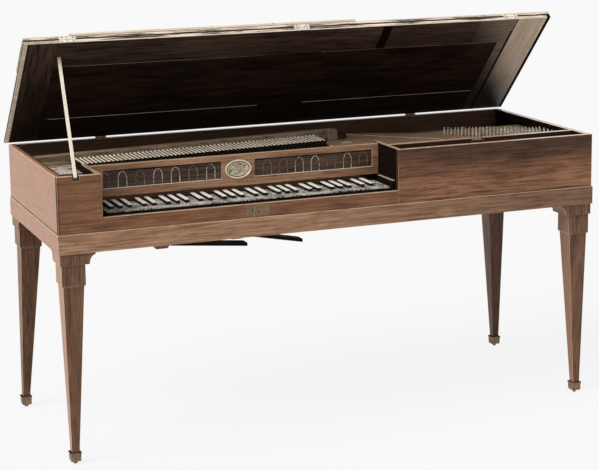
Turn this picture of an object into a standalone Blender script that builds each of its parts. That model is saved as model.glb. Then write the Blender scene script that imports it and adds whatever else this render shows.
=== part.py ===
# Square piano on a four-legged stand, shown with its lid propped open.
#
# Lengths are in metres. Shapes are drawn in case coordinates: x runs from the left face of the case,
# y from its front face and z from its top rim, so that most heights are negative. The world origin
# lies on the floor, below the middle of the case.

import math

import bpy
import bmesh
from mathutils import Matrix, Vector

# Case
CASE_WIDTH = 1.626
CASE_DEPTH = 0.591
CASE_HEIGHT = 0.157
RIM_HEIGHT = 0.803
FRONT_THICK = 0.014
SIDE_THICK = 0.018
BACK_THICK = 0.018
BOTTOM_THICK = 0.0165
SEAM = 0.0003
OVERCUT = 0.010
OVERLAP = 0.001

# Keywell
KEYWELL_LEFT = 0.123
BASS_SIDE_GAP = 0.0215
TREBLE_SIDE_GAP = 0.0102
CHEEK_THICK = 0.014
CHEEK_BEHIND_BOARD = 0.030
KEY_BLOCK_SHORT = 0.010
KEY_BLOCK_RISE = 0.019
KEY_BLOCK_BEHIND_FALL = 0.001
SLIP_THICK = 0.012
NAMEBOARD_FRONT = 0.140
NAMEBOARD_THICK = 0.014
NAMEBOARD_TOP = -0.003
NAMEBOARD_LIFT = 0.021
PANEL_FROM_TOP = 0.016
PANEL_FROM_BOTTOM = 0.022
PANEL_DEPTH = 0.0025
PANEL_LEFT_MARGIN = 0.040
PANEL_RIGHT_MARGIN = 0.020
PLAQUE_WIDTH = 0.078
PLAQUE_HEIGHT = 0.054
PLAQUE_THICK = 0.002
PLAQUE_RIM = 0.005
PLAQUE_MARGIN = 0.0105
PLAQUE_SIDES = 32
LOCK_SHIFT = 0.007
LOCK_WIDTH = 0.070
LOCK_HEIGHT = 0.031
LOCK_THICK = 0.0015
LOCK_ABOVE = 0.0035
LOCK_BELOW = 0.004
KEYHOLE = {"x": (-0.0185, -0.0145), "z": (0.010, 0.021)}
STAPLE_HOLE = {"x": (0.0005, 0.0065), "z": (0.008, 0.014)}

# Keyboard, from FF to f3
KEY_COUNT = 61
NATURAL_PITCH = 0.02323
KEY_GAP = 0.0006
KEY_FRONT = 0.033
KEY_END = 0.330
KEY_LIFT = 0.0105
NATURAL_HEIGHT = 0.018
SHARP_RISE = 0.0105
SHARP_FRONT = 0.0635
SHARP_HIDDEN = 0.010
SHARP_SLOPE = 0.003
SHARP_WIDTH = 0.0105
KEY_PIVOT = 0.220
GROUP_STRIP = {"y": (0.020, 0.030), "z": (-0.002, 0.004)}
SINGLE_FIRST = 31
SINGLE_LAST = 42
NOTES = ["f", "f_sharp", "g", "g_sharp", "a", "a_sharp", "b", "c", "c_sharp", "d", "d_sharp", "e"]
NATURAL_ORDER = {0: 0, 2: 1, 4: 2, 6: 3, 7: 4, 9: 5, 11: 6}

# Key frame, hammers and dampers
FRAME_RAIL_WIDTH = 0.030
FRAME_CREST = 0.003
STRETCHER_WIDTH = 0.030
STRETCHER_THICK = 0.004
STRETCHER_FROM_END = 0.020
BACK_RAIL_UNDER_KEYS = 0.022
HAMMER_RAIL_BEHIND_KEYS = 0.008
HAMMER_RAIL_DEPTH = 0.018
HAMMER_RAIL_HEIGHT = 0.017
HAMMER_RAIL_LIFT = 0.017
CHEEK_ABOVE_RAIL = 0.003
CHEEK_BEHIND_RAIL = 0.004
HAMMER_REACH = 0.078
HAMMER_WIDTH = 0.005
HAMMER_SHANK = 0.004
HAMMER_HEAD_FALL = 0.024
HAMMER_HEAD_DEPTH = 0.010
DAMPER_RAIL_TOP = -0.002
DAMPER_RAIL_DEEP = 0.026
DAMPER_RAIL_WIDTH = 0.030
DAMPER_RAIL_LEFT_BACK = 0.365
DAMPER_RAIL_RIGHT_BACK = 0.465
DAMPER_RAIL_SHORT = 0.033
DAMPER_POST = 0.026
DAMPER_POST_LIP = 0.004
LEVER_TOP = -0.014
LEVER_THICK = 0.006
LEVER_GAP = 0.0052
LEVER_FIRST_SHIFT = -0.0045
LEVER_LAST_SHIFT = -0.0808
LEVER_FRONT_FIRST = 0.246
LEVER_FRONT_LAST = 0.324
LEVER_HEAD_DROP = 0.018
LEVER_HEAD_DEPTH = 0.008
LEVER_STRIP = 0.010

# Right-hand side of the case: x from the keywell's right side, y from the front or from the back
INNER_RAIL_FRONT = 0.088
INNER_RAIL_DEPTH = 0.017
RAIL_NOTCH_SHIFT = 0.008
RAIL_NOTCH_WIDTH = 0.040
RAIL_NOTCH_DEEP = 0.008
WREST_SHIFT = 0.271
WREST_BEHIND_RAIL = 0.015
WREST_SHOULDER_FROM_BACK = 0.306
WREST_BACK_FROM_BACK = 0.166
WREST_TOP = -0.030
WREST_THICK = 0.045
WREST_FOOT = 0.028
WING_TIP = {"x": 0.048, "from_back": 0.103}
WING_ROOT = {"x": 0.225, "from_back": 0.264}
WING_BACK_ROOT = {"x": 0.232, "from_back": 0.166}
WING_BACK_TIP = {"x": 0.058, "from_back": 0.080}
PLANK_THICK = 0.012
PLANK_RIGHT_GAP = 0.010
PLANK_LEFT_REACH = 0.076
PLANK_BACK_RIGHT = 0.316
PLANK_SLIT = [(0.216, 0.275), (0.030, 0.171)]
PLANK_LEFT_POINTS = [(0.009, 0.181), (-0.076, 0.201)]
BOARD_TOP = -0.060
BOARD_THICK = 0.004
BOARD_SHIFT = 0.014
BELLY_THICK = 0.015
BELLY_SETBACK = 0.012
BRIDGE_LEFT = {"x": 0.109, "from_back": 0.044}
BRIDGE_RIGHT = {"from_end": 0.126, "from_back": 0.091}
BRIDGE_WIDTH = 0.012
BRIDGE_HEIGHT = 0.010

# Left-hand side of the case
HITCH_FRONT = 0.150
HITCH_STEP = 0.250
HITCH_BACK = 0.330
HITCH_TOP = -0.016
HITCH_STEP_DOWN = 0.004
HITCH_THICK = 0.030
HITCH_FOOT = 0.020

# Stand
BAND_HEIGHT = 0.0535
BAND_PROUD = 0.003
BAND_THICK = 0.030
CAPITAL_SIDE = 0.100
CAPITAL_FOOT = 0.083
CAPITAL_LIP = 0.005
CAPITAL_HEIGHT = 0.031
CAPITAL_INSET = 0.001
CAPITAL_STEPS = 5
COLLAR_INSET = 0.0055
COLLAR_SIDE = 0.066
COLLAR_HEIGHT = 0.057
TAPER_STEP = 0.004
TAPER_FOOT_SIDE = 0.021
FRONT_FOOT_INSET = 0.0195
BACK_FOOT_INSET = 0.006
CUP_ABOVE_HOLLOW = 0.012
CUP_RIM = 0.004
CUP_RIM_PROUD = 0.00125
CUP_BOTTOM = 0.009
CUP_TAPER = 0.00075
CUP_WALL = 0.003
WHEEL_RADIUS = 0.0085
WHEEL_WIDTH = 0.008
WHEEL_SIDES = 20
WHEEL_ROOM = 0.0011
WHEEL_HEADROOM = 0.005
STEM_RADIUS = 0.0035
STEM_SIDES = 12

# Knee levers: x from the left of the case, y from its front, below from its bottom
KNEE_BOARD_THICK = 0.010
KNEE_END_STEPS = 8
KNEE_DEPTH = 0.034
KNEE_SPACE = 0.0005
KNEE_BLOCK_WIDTH = 0.046
KNEE_BLOCK_FOOT = 0.006
KNEE_BLOCK_SLOPE = 0.008
KNEE_BATTEN_THICK = 0.015
KNEE_BATTEN_END = 0.012
KNEE_BATTEN_SIDE = 0.004
KNEE_LEFT = {"x": 0.322, "y": 0.036, "below": 0.0605, "reach": 0.222, "fall": 0.022}
KNEE_RIGHT = {"x": 0.556, "y": 0.082, "below": 0.0645, "reach": 0.172, "fall": 0.034}

# Lid
LID_OVERHANG = 0.012
LID_CLEAR = 0.0003
LID_THICK = 0.012
FLAP_THICK = 0.0115
FLAP_DEPTH = 0.1395
LID_OPEN = math.radians(45.5)
LID_AXIS_BACK = 0.0035
LID_AXIS_UP = 0.0015
LID_HINGE_LEFT = 0.264
LID_HINGE_FROM_END = 0.334
LID_HINGE_WIDTH = 0.033
LID_BARREL = 0.0030
LEAF_THICK = 0.0014
FLAP_HINGE_LEFT = 0.090
FLAP_HINGE_FROM_END = 0.148
FLAP_HINGE_WIDTH = 0.047
FLAP_BARREL = 0.0025
FLAP_EDGE_GAP = 0.0008
FLAP_LEAF = 0.0005
HINGE_ROOM = 0.0007
FALL_AXIS_Y = 0.0230
FALL_THICK = 0.010
FALL_ABOVE_SLIP = 0.004
FALL_SIDE_GAP = 0.0015
BARREL_SIDES = 16

# Prop stick, held to the lid at its upper end
PROP_SIDE = 0.0095
PROP_END_STEPS = 8
PROP_DROP = 0.0056
PROP_TIP_X = 0.095
PROP_TIP_ALONG = 0.389
PROP_FOOT_X = 0.054
PROP_FOOT_INSIDE = 0.004
PROP_FOOT_DOWN = 0.0082
NOTCH_LEFT = 0.0435
NOTCH_RIGHT = 0.0615
NOTCH_DEEP = 0.0125

# Heights worked out from the sizes above
CASE_BOTTOM = -CASE_HEIGHT
FLOOR = -RIM_HEIGHT
BOARD_LEVEL = CASE_BOTTOM + BOTTOM_THICK
BAND_TOP = CASE_BOTTOM - SEAM
BAND_BOTTOM = BAND_TOP - BAND_HEIGHT
SLIP_TOP = CASE_BOTTOM + LOCK_BELOW + LOCK_HEIGHT + LOCK_ABOVE
KEY_BOTTOM = BOARD_LEVEL + KEY_LIFT
NATURAL_TOP = KEY_BOTTOM + NATURAL_HEIGHT
SHARP_TOP = NATURAL_TOP + SHARP_RISE
NAMEBOARD_BOTTOM = NATURAL_TOP + NAMEBOARD_LIFT
PANEL_TOP = NAMEBOARD_TOP - PANEL_FROM_TOP
PANEL_BOTTOM = NAMEBOARD_BOTTOM + PANEL_FROM_BOTTOM
HAMMER_RAIL_BOTTOM = NATURAL_TOP + HAMMER_RAIL_LIFT
HAMMER_RAIL_TOP = HAMMER_RAIL_BOTTOM + HAMMER_RAIL_HEIGHT
HAMMER_HEAD_TOP = LEVER_TOP - LEVER_THICK - LEVER_HEAD_DROP - HAMMER_HEAD_FALL
WREST_UNDER = WREST_TOP - WREST_THICK
CUP_HOLLOW_TOP = 2 * WHEEL_RADIUS + WHEEL_HEADROOM
CUP_TOP = CUP_HOLLOW_TOP + CUP_ABOVE_HOLLOW

# Places worked out from the sizes above
NATURAL_COUNT = sum(1 for index in range(KEY_COUNT) if index % 12 in NATURAL_ORDER)
KEYS_LEFT = KEYWELL_LEFT + BASS_SIDE_GAP
KEYS_RIGHT = KEYS_LEFT + NATURAL_COUNT * NATURAL_PITCH
KEYWELL_RIGHT = KEYS_RIGHT + TREBLE_SIDE_GAP
KEYWELL_MIDDLE = (KEYWELL_LEFT + KEYWELL_RIGHT) / 2
CHEEK_BACK = NAMEBOARD_FRONT + CHEEK_BEHIND_BOARD
HAMMER_RAIL_FRONT = KEY_END + HAMMER_RAIL_BEHIND_KEYS
HAMMER_RAIL_BACK = HAMMER_RAIL_FRONT + HAMMER_RAIL_DEPTH
DAMPER_RAIL_RIGHT = KEYWELL_RIGHT - DAMPER_RAIL_SHORT
LEVER_FIRST = KEYS_LEFT + LEVER_FIRST_SHIFT
LEVER_LAST = KEYS_RIGHT + LEVER_LAST_SHIFT
LEVER_WIDTH = (LEVER_LAST - LEVER_FIRST) / (KEY_COUNT - 1) - LEVER_GAP
INNER_LEFT = SIDE_THICK + SEAM
INNER_RIGHT = CASE_WIDTH - SIDE_THICK - SEAM
INNER_BACK = CASE_DEPTH - BACK_THICK - SEAM
INNER_RAIL_BACK = INNER_RAIL_FRONT + INNER_RAIL_DEPTH
WREST_LEFT = KEYWELL_RIGHT + WREST_SHIFT
WREST_FRONT = INNER_RAIL_BACK + WREST_BEHIND_RAIL
WREST_BACK = CASE_DEPTH - WREST_BACK_FROM_BACK
HOLLOW_SIDE = 2 * (math.hypot(WHEEL_RADIUS, WHEEL_WIDTH / 2) + WHEEL_ROOM)
LID_BOTTOM = LID_CLEAR
LID_TOP = LID_BOTTOM + LID_THICK
FLAP_BOTTOM = LID_TOP - FLAP_THICK
LID_AXIS = Vector((CASE_WIDTH / 2, CASE_DEPTH + LID_AXIS_BACK, LID_AXIS_UP))
FLAP_AXIS = Vector((CASE_WIDTH / 2, FLAP_DEPTH, LID_TOP + SEAM))
FALL_AXIS = Vector((CASE_WIDTH / 2, FALL_AXIS_Y, FLAP_BOTTOM - SEAM))
FALL_DEPTH = FALL_AXIS.z - SLIP_TOP - FALL_ABOVE_SLIP
LID_HINGES = {"left": LID_HINGE_LEFT, "right": CASE_WIDTH - LID_HINGE_FROM_END}
FLAP_HINGES = {
    "left": FLAP_HINGE_LEFT,
    "middle": (CASE_WIDTH - FLAP_HINGE_WIDTH) / 2,
    "right": CASE_WIDTH - FLAP_HINGE_FROM_END,
}

COLOURS = {
    "case": ((0.16, 0.075, 0.035, 1.0), 0.42, 0.0),
    "dark": ((0.030, 0.016, 0.010, 1.0), 0.38, 0.0),
    "pale": ((0.52, 0.40, 0.26, 1.0), 0.55, 0.0),
    "ebony": ((0.018, 0.016, 0.015, 1.0), 0.35, 0.0),
    "bone": ((0.78, 0.74, 0.64, 1.0), 0.35, 0.0),
    "brass": ((0.62, 0.46, 0.20, 1.0), 0.35, 1.0),
}

CORNERS = {
    "front_left": {"right": False, "back": False, "turn": 20},
    "front_right": {"right": True, "back": False, "turn": -25},
    "back_left": {"right": False, "back": True, "turn": 35},
    "back_right": {"right": True, "back": True, "turn": -10},
}


def material(name, kind):
    colour, roughness, metallic = COLOURS[kind]
    made = bpy.data.materials.new(name + "_finish")
    made.use_nodes = True
    shader = made.node_tree.nodes["Principled BSDF"]
    shader.inputs["Base Color"].default_value = colour
    shader.inputs["Roughness"].default_value = roughness
    shader.inputs["Metallic"].default_value = metallic
    made.diffuse_color = colour
    return made


def world(point):
    """A point in case coordinates, as a world position."""
    return Vector(point) + Vector((-CASE_WIDTH / 2, -CASE_DEPTH / 2, RIM_HEIGHT))


def right_side(place):
    """A point on the right-hand side of the case, given by its shift from the keywell."""
    return KEYWELL_RIGHT + place["x"], CASE_DEPTH - place["from_back"]


def distinct(points):
    """The outline without a point that repeats the one before it."""
    kept = [Vector(p) for p in points]
    return [p for i, p in enumerate(kept) if (p - kept[i - 1]).length > 1e-6]


def prism(direction, outline, start, end):
    """A closed solid: an outline in the other two coordinates, extruded along x, y or z."""
    order = {"x": (2, 0, 1), "y": (0, 2, 1), "z": (0, 1, 2)}[direction]
    shape = bmesh.new()
    ring = []
    for a, b in (point.to_tuple() for point in distinct(outline)):
        values = (a, b, start)
        ring.append(shape.verts.new([values[i] for i in order]))
    face = shape.faces.new(ring)
    side = bmesh.ops.extrude_face_region(shape, geom=[face])
    moved = [item for item in side["geom"] if isinstance(item, bmesh.types.BMVert)]
    step = Vector((0, 0, 0))
    step["xyz".index(direction)] = end - start
    bmesh.ops.translate(shape, verts=moved, vec=step)
    bmesh.ops.recalc_face_normals(shape, faces=shape.faces)
    return shape


def box(x, y, z):
    return prism("z", [(x[0], y[0]), (x[1], y[0]), (x[1], y[1]), (x[0], y[1])], z[0], z[1])


def cylinder(direction, centre, radius, start, end, sides):
    """A round bar whose lowest facet is level, with the radius measured to its flat facets."""
    corner = radius / math.cos(math.pi / sides)
    turn = math.pi / sides - math.pi / 2
    angles = [turn + 2 * math.pi * i / sides for i in range(sides)]
    outline = [(centre[0] + corner * math.cos(a), centre[1] + corner * math.sin(a)) for a in angles]
    return prism(direction, outline, start, end)


def loft(sections):
    """A closed solid through level rectangles, each given as (x, y, z) with x and y as pairs."""
    shape = bmesh.new()
    rings = []
    for x, y, z in sections:
        corners = [(x[0], y[0], z), (x[1], y[0], z), (x[1], y[1], z), (x[0], y[1], z)]
        rings.append([shape.verts.new(corner) for corner in corners])
    for upper, lower in zip(rings, rings[1:]):
        for i in range(4):
            shape.faces.new([upper[i - 1], upper[i], lower[i], lower[i - 1]])
    shape.faces.new(rings[0])
    shape.faces.new(rings[-1])
    bmesh.ops.recalc_face_normals(shape, faces=shape.faces)
    return shape


def gather(shapes):
    """Several separate shapes as one mesh."""
    whole = bmesh.new()
    for shape in shapes:
        part = bpy.data.meshes.new("part")
        shape.to_mesh(part)
        shape.free()
        whole.from_mesh(part)
        bpy.data.meshes.remove(part)
    return whole


def mesh_from(name, shape, origin):
    """The shape's mesh, measured from its object's origin."""
    bmesh.ops.translate(shape, verts=shape.verts, vec=-origin)
    mesh = bpy.data.meshes.new(name)
    shape.to_mesh(mesh)
    shape.free()
    return mesh


def middle(shape):
    low = [min(vertex.co[i] for vertex in shape.verts) for i in range(3)]
    high = [max(vertex.co[i] for vertex in shape.verts) for i in range(3)]
    return (Vector(low) + Vector(high)) / 2


def add(name, kind, shape, origin=None, round_edges=False):
    """One piece of the piano. Its origin is the middle of its first shape, or the point given."""
    place = middle(shape) if origin is None else Vector(origin)
    mesh = mesh_from(name, shape, place)
    if round_edges:
        mesh.shade_smooth()
        mesh.set_sharp_from_angle(angle=math.radians(35))
    piece = bpy.data.objects.new(name, mesh)
    piece.location = world(place)
    piece["case_origin"] = place
    mesh.materials.append(material(name, kind))
    bpy.context.collection.objects.link(piece)
    return piece


def combine(piece, shape, operation):
    """Joins a shape to a piece, or cuts it away, with a helper that follows the piece."""
    origin = Vector(piece["case_origin"])
    name = f"{piece.name}_{operation.lower()}_{len(piece.modifiers) + 1}"
    helper = bpy.data.objects.new(name, mesh_from(name, shape, origin))
    helper.parent = piece
    helper.hide_render = True
    helper.display_type = "WIRE"
    bpy.context.collection.objects.link(helper)
    modifier = piece.modifiers.new(operation.title(), "BOOLEAN")
    modifier.operation = operation
    modifier.solver = "EXACT"
    modifier.object = helper


def join(piece, shape):
    combine(piece, shape, "UNION")


def cut(piece, shape):
    combine(piece, shape, "DIFFERENCE")


def pivot(name, point, parent=None, parent_point=None):
    """An empty on a joint's axis."""
    empty = bpy.data.objects.new(name, None)
    empty.empty_display_size = 0.03
    bpy.context.collection.objects.link(empty)
    if parent is None:
        empty.location = world(point)
    else:
        empty.parent = parent
        empty.location = Vector(point) - Vector(parent_point)
    return empty


def hang(piece, empty, point):
    """Puts a piece that was drawn with the lid shut under the empty on its joint."""
    piece.parent = empty
    piece.location = Vector(piece["case_origin"]) - Vector(point)


def make_case():
    behind_front = FRONT_THICK + SEAM
    height = (CASE_BOTTOM, 0)
    inside = (INNER_LEFT, INNER_RIGHT)
    right_end = (CASE_WIDTH - SIDE_THICK, CASE_WIDTH)
    bottom = box(inside, (behind_front, INNER_BACK), (CASE_BOTTOM, BOARD_LEVEL))
    add("bottom_board", "pale", bottom)
    add("left_side", "case", box((0, SIDE_THICK), (behind_front, CASE_DEPTH), height))
    add("right_side", "case", box(right_end, (behind_front, CASE_DEPTH), height))
    back = add("back_wall", "case", box(inside, (CASE_DEPTH - BACK_THICK, CASE_DEPTH), height))
    across = (CASE_DEPTH - BACK_THICK - OVERCUT, CASE_DEPTH + OVERCUT)
    for left in LID_HINGES.values():
        bed = (left - SEAM, left + LID_HINGE_WIDTH + SEAM)
        cut(back, box(bed, across, (-LEAF_THICK - 2 * SEAM, OVERCUT)))
    left_front = add("left_front_panel", "case", box((0, KEYWELL_LEFT), (0, FRONT_THICK), height))
    through = (-OVERCUT, FRONT_THICK + OVERCUT)
    cut(left_front, box((NOTCH_LEFT, NOTCH_RIGHT), through, (-NOTCH_DEEP, OVERCUT)))
    add("right_front_panel", "case", box((KEYWELL_RIGHT, CASE_WIDTH), (0, FRONT_THICK), height))


def cheek_outline():
    """Side view of a cheek: full height beside the keys, then low, to carry the hammer rail."""
    front = FRONT_THICK + SEAM
    bottom = BOARD_LEVEL + SEAM
    end = HAMMER_RAIL_BACK + CHEEK_BEHIND_RAIL
    low = HAMMER_RAIL_TOP + CHEEK_ABOVE_RAIL
    return [(front, bottom), (end, bottom), (end, low), (CHEEK_BACK, low), (CHEEK_BACK, -SEAM),
            (front, -SEAM)]


def make_cheeks():
    """The keywell's two side boards, each with the narrow block beside the outermost key."""
    left_span = (KEYWELL_LEFT - CHEEK_THICK, KEYWELL_LEFT)
    right_span = (KEYWELL_RIGHT, KEYWELL_RIGHT + CHEEK_THICK)
    left = add("left_cheek", "case", prism("x", cheek_outline(), *left_span))
    right = add("right_cheek", "case", prism("x", cheek_outline(), *right_span))
    # the fall board hangs down in front of the blocks when the piano is shut
    depth = (FALL_AXIS_Y + KEY_BLOCK_BEHIND_FALL, NAMEBOARD_FRONT - KEY_BLOCK_SHORT)
    bottom = BOARD_LEVEL + 2 * SEAM
    left_block = (KEYWELL_LEFT - OVERLAP, KEYS_LEFT - 2 * KEY_GAP)
    right_block = (KEYS_RIGHT + 2 * KEY_GAP, KEYWELL_RIGHT + OVERLAP)
    join(left, box(left_block, depth, (bottom, NATURAL_TOP)))
    join(right, box(right_block, depth, (bottom, NATURAL_TOP + KEY_BLOCK_RISE)))


def lock_hole(sizes, middle_x, low):
    """A cutter for one hole of the lock plate, placed from its middle and its lower edge."""
    x = [middle_x + value for value in sizes["x"]]
    z = [low + value for value in sizes["z"]]
    return box(x, (-OVERCUT, LOCK_THICK + OVERCUT), z)


def make_key_slip():
    span = (KEYWELL_LEFT + SEAM, KEYWELL_RIGHT - SEAM)
    slip = add("key_slip", "case", box(span, (0, SLIP_THICK), (CASE_BOTTOM, SLIP_TOP)))
    centre = KEYWELL_MIDDLE + LOCK_SHIFT
    half = LOCK_WIDTH / 2
    low = CASE_BOTTOM + LOCK_BELOW
    high = low + LOCK_HEIGHT
    bed = (centre - half - SEAM, centre + half + SEAM)
    cut(slip, box(bed, (-OVERCUT, LOCK_THICK + SEAM), (low - SEAM, high + SEAM)))
    plate = add("lock_plate", "brass", box((centre - half, centre + half), (0, LOCK_THICK), (low, high)))
    cut(plate, lock_hole(KEYHOLE, centre, low))
    cut(plate, lock_hole(STAPLE_HOLE, centre, low))


def ellipse(centre, width, height, sides):
    angles = [2 * math.pi * i / sides for i in range(sides)]
    return [(centre[0] + width / 2 * math.cos(a), centre[1] + height / 2 * math.sin(a)) for a in angles]


def make_nameboard():
    span = (KEYWELL_LEFT + SEAM, KEYWELL_RIGHT - SEAM)
    depth = (NAMEBOARD_FRONT, NAMEBOARD_FRONT + NAMEBOARD_THICK)
    board = add("nameboard", "case", box(span, depth, (NAMEBOARD_BOTTOM, NAMEBOARD_TOP)))
    beside = PLAQUE_WIDTH / 2 + PLAQUE_MARGIN
    left_panel = (KEYWELL_LEFT + PANEL_LEFT_MARGIN, KEYWELL_MIDDLE - beside)
    right_panel = (KEYWELL_MIDDLE + beside, KEYWELL_RIGHT - PANEL_RIGHT_MARGIN)
    recess = (NAMEBOARD_FRONT - OVERCUT, NAMEBOARD_FRONT + PANEL_DEPTH)
    for panel in (left_panel, right_panel):
        cut(board, box(panel, recess, (PANEL_BOTTOM, PANEL_TOP)))
    centre = (KEYWELL_MIDDLE, (PANEL_TOP + PANEL_BOTTOM) / 2)
    back = NAMEBOARD_FRONT - SEAM
    front = back - PLAQUE_THICK
    outer = ellipse(centre, PLAQUE_WIDTH, PLAQUE_HEIGHT, PLAQUE_SIDES)
    inner = ellipse(centre, PLAQUE_WIDTH - 2 * PLAQUE_RIM, PLAQUE_HEIGHT - 2 * PLAQUE_RIM, PLAQUE_SIDES)
    plaque = add("name_plaque", "brass", prism("y", outer, front, back), round_edges=True)
    cut(plaque, prism("y", inner, front - OVERCUT, front + PLAQUE_THICK / 2))


def tail_of(index):
    """Left and right of a key's narrow rear part."""
    octave, step = divmod(index, 12)
    first, count, share = (0, step, 4 / 7) if step < 7 else (4, step - 7, 3 / 5)
    width = NATURAL_PITCH * share
    left = KEYS_LEFT + (7 * octave + first) * NATURAL_PITCH + count * width
    return left + KEY_GAP / 2, left + width - KEY_GAP / 2


def head_of(index):
    """Left and right of a natural key's wide front part."""
    octave, step = divmod(index, 12)
    left = KEYS_LEFT + (7 * octave + NATURAL_ORDER[step]) * NATURAL_PITCH
    return left + KEY_GAP / 2, left + NATURAL_PITCH - KEY_GAP / 2


def is_natural(index):
    return index % 12 in NATURAL_ORDER


def key_body(index):
    tail_left, tail_right = tail_of(index)
    neck = SHARP_FRONT - KEY_GAP
    if not is_natural(index):
        return box((tail_left, tail_right), (SHARP_FRONT, KEY_END), (KEY_BOTTOM, NATURAL_TOP))
    left, right = head_of(index)
    if index == KEY_COUNT - 1:
        tail_right = right
    outline = [(left, KEY_FRONT), (right, KEY_FRONT), (right, neck), (tail_right, neck),
               (tail_right, KEY_END), (tail_left, KEY_END), (tail_left, neck), (left, neck)]
    return prism("z", outline, KEY_BOTTOM, NATURAL_TOP)


def sharp_cap(index):
    centre = sum(tail_of(index)) / 2
    foot = NATURAL_TOP - KEY_GAP
    end = NAMEBOARD_FRONT + SHARP_HIDDEN
    outline = [(SHARP_FRONT + KEY_GAP, foot), (end, foot), (end, SHARP_TOP),
               (SHARP_FRONT + SHARP_SLOPE, SHARP_TOP)]
    return prism("x", outline, centre - SHARP_WIDTH / 2, centre + SHARP_WIDTH / 2)


def make_single_keys():
    for index in range(SINGLE_FIRST, SINGLE_LAST + 1):
        kind = "ebony" if is_natural(index) else "bone"
        origin = (sum(tail_of(index)) / 2, KEY_PIVOT, KEY_BOTTOM)
        key = add("key_" + NOTES[index % 12], kind, key_body(index), origin)
        if not is_natural(index):
            join(key, sharp_cap(index))


def make_key_group(name, first, last):
    """Keys that move as one, held by a thin strip across their tops behind the nameboard."""
    indexes = range(first, last + 1)
    left = tail_of(first)[0] + KEY_GAP
    right = tail_of(last)[1] - KEY_GAP
    depth = [KEY_PIVOT + value for value in GROUP_STRIP["y"]]
    height = [NATURAL_TOP + value for value in GROUP_STRIP["z"]]
    origin = ((left + right) / 2, KEY_PIVOT, KEY_BOTTOM)
    group = add(name, "ebony", box((left, right), depth, height), origin)
    join(group, gather([key_body(i) for i in indexes]))
    join(group, gather([sharp_cap(i) for i in indexes if not is_natural(i)]))


def make_key_frame():
    """The balance rail with its narrow crest, and the rail that the keys' rear ends rest on."""
    left = KEYWELL_LEFT + SEAM
    right = KEYWELL_RIGHT - SEAM
    bottom = BOARD_LEVEL + SEAM
    top = KEY_BOTTOM - SEAM
    half = FRAME_RAIL_WIDTH / 2
    crest = FRAME_CREST / 2
    outline = [(KEY_PIVOT - half, bottom), (KEY_PIVOT + half, bottom), (KEY_PIVOT + crest, top),
               (KEY_PIVOT - crest, top)]
    frame = add("key_frame", "pale", prism("x", outline, left, right))
    back = KEY_END - BACK_RAIL_UNDER_KEYS
    join(frame, box((left, right), (back, back + FRAME_RAIL_WIDTH), (bottom, top)))
    last = right - STRETCHER_FROM_END - STRETCHER_WIDTH
    for start in (left + STRETCHER_FROM_END, (left + right) / 2, last):
        depth = (KEY_PIVOT, back + OVERLAP)
        join(frame, box((start, start + STRETCHER_WIDTH), depth, (bottom + SEAM, bottom + STRETCHER_THICK)))


def hammer(index):
    """One hammer, seen from the side: a shank with its head turned up towards the strings."""
    centre = sum(tail_of(index)) / 2
    back = HAMMER_RAIL_FRONT + OVERLAP
    front = HAMMER_RAIL_FRONT - HAMMER_REACH
    top = (HAMMER_RAIL_TOP + HAMMER_RAIL_BOTTOM) / 2
    bottom = top - HAMMER_SHANK
    head = front + HAMMER_HEAD_DEPTH
    outline = [(front, bottom), (back, bottom), (back, top), (head, top), (head, HAMMER_HEAD_TOP),
               (front, HAMMER_HEAD_TOP)]
    return prism("x", outline, centre - HAMMER_WIDTH / 2, centre + HAMMER_WIDTH / 2)


def make_hammer_rail():
    span = (KEYWELL_LEFT + SEAM, KEYWELL_RIGHT - SEAM)
    rail = box(span, (HAMMER_RAIL_FRONT, HAMMER_RAIL_BACK), (HAMMER_RAIL_BOTTOM, HAMMER_RAIL_TOP))
    piece = add("hammer_rail", "pale", rail)
    join(piece, gather([hammer(i) for i in range(KEY_COUNT)]))


def damper_rail_back(x):
    """The damper rail runs askew, further from the front at its right end."""
    share = (x - SIDE_THICK) / (DAMPER_RAIL_RIGHT - SIDE_THICK)
    return DAMPER_RAIL_LEFT_BACK + share * (DAMPER_RAIL_RIGHT_BACK - DAMPER_RAIL_LEFT_BACK)


def damper_rail_front(x):
    return damper_rail_back(x) - DAMPER_RAIL_WIDTH


def make_damper_rail():
    left = INNER_LEFT
    right = DAMPER_RAIL_RIGHT
    bottom = DAMPER_RAIL_TOP - DAMPER_RAIL_DEEP
    outline = [(left, damper_rail_front(left)), (right, damper_rail_front(right)),
               (right, damper_rail_back(right)), (left, damper_rail_back(left))]
    rail = add("damper_rail", "pale", prism("z", outline, bottom, DAMPER_RAIL_TOP))
    post_x = (right - DAMPER_POST_LIP, right + DAMPER_POST)
    post_y = (damper_rail_front(right) - DAMPER_POST_LIP, damper_rail_back(right) + DAMPER_POST_LIP)
    join(rail, box(post_x, post_y, (BOARD_LEVEL + SEAM, DAMPER_RAIL_TOP - OVERLAP)))


def lever(index):
    """One damper lever, seen from the side, with its head bent down to the strings."""
    share = index / (KEY_COUNT - 1)
    centre = LEVER_FIRST + share * (LEVER_LAST - LEVER_FIRST)
    front = LEVER_FRONT_FIRST + share * (LEVER_FRONT_LAST - LEVER_FRONT_FIRST)
    back = damper_rail_front(centre) - LEVER_STRIP / 2
    bottom = LEVER_TOP - LEVER_THICK
    head = front + LEVER_HEAD_DEPTH
    low = bottom - LEVER_HEAD_DROP
    outline = [(front, low), (head, low), (head, bottom), (back, bottom), (back, LEVER_TOP),
               (front, LEVER_TOP)]
    return prism("x", outline, centre - LEVER_WIDTH / 2, centre + LEVER_WIDTH / 2)


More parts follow.
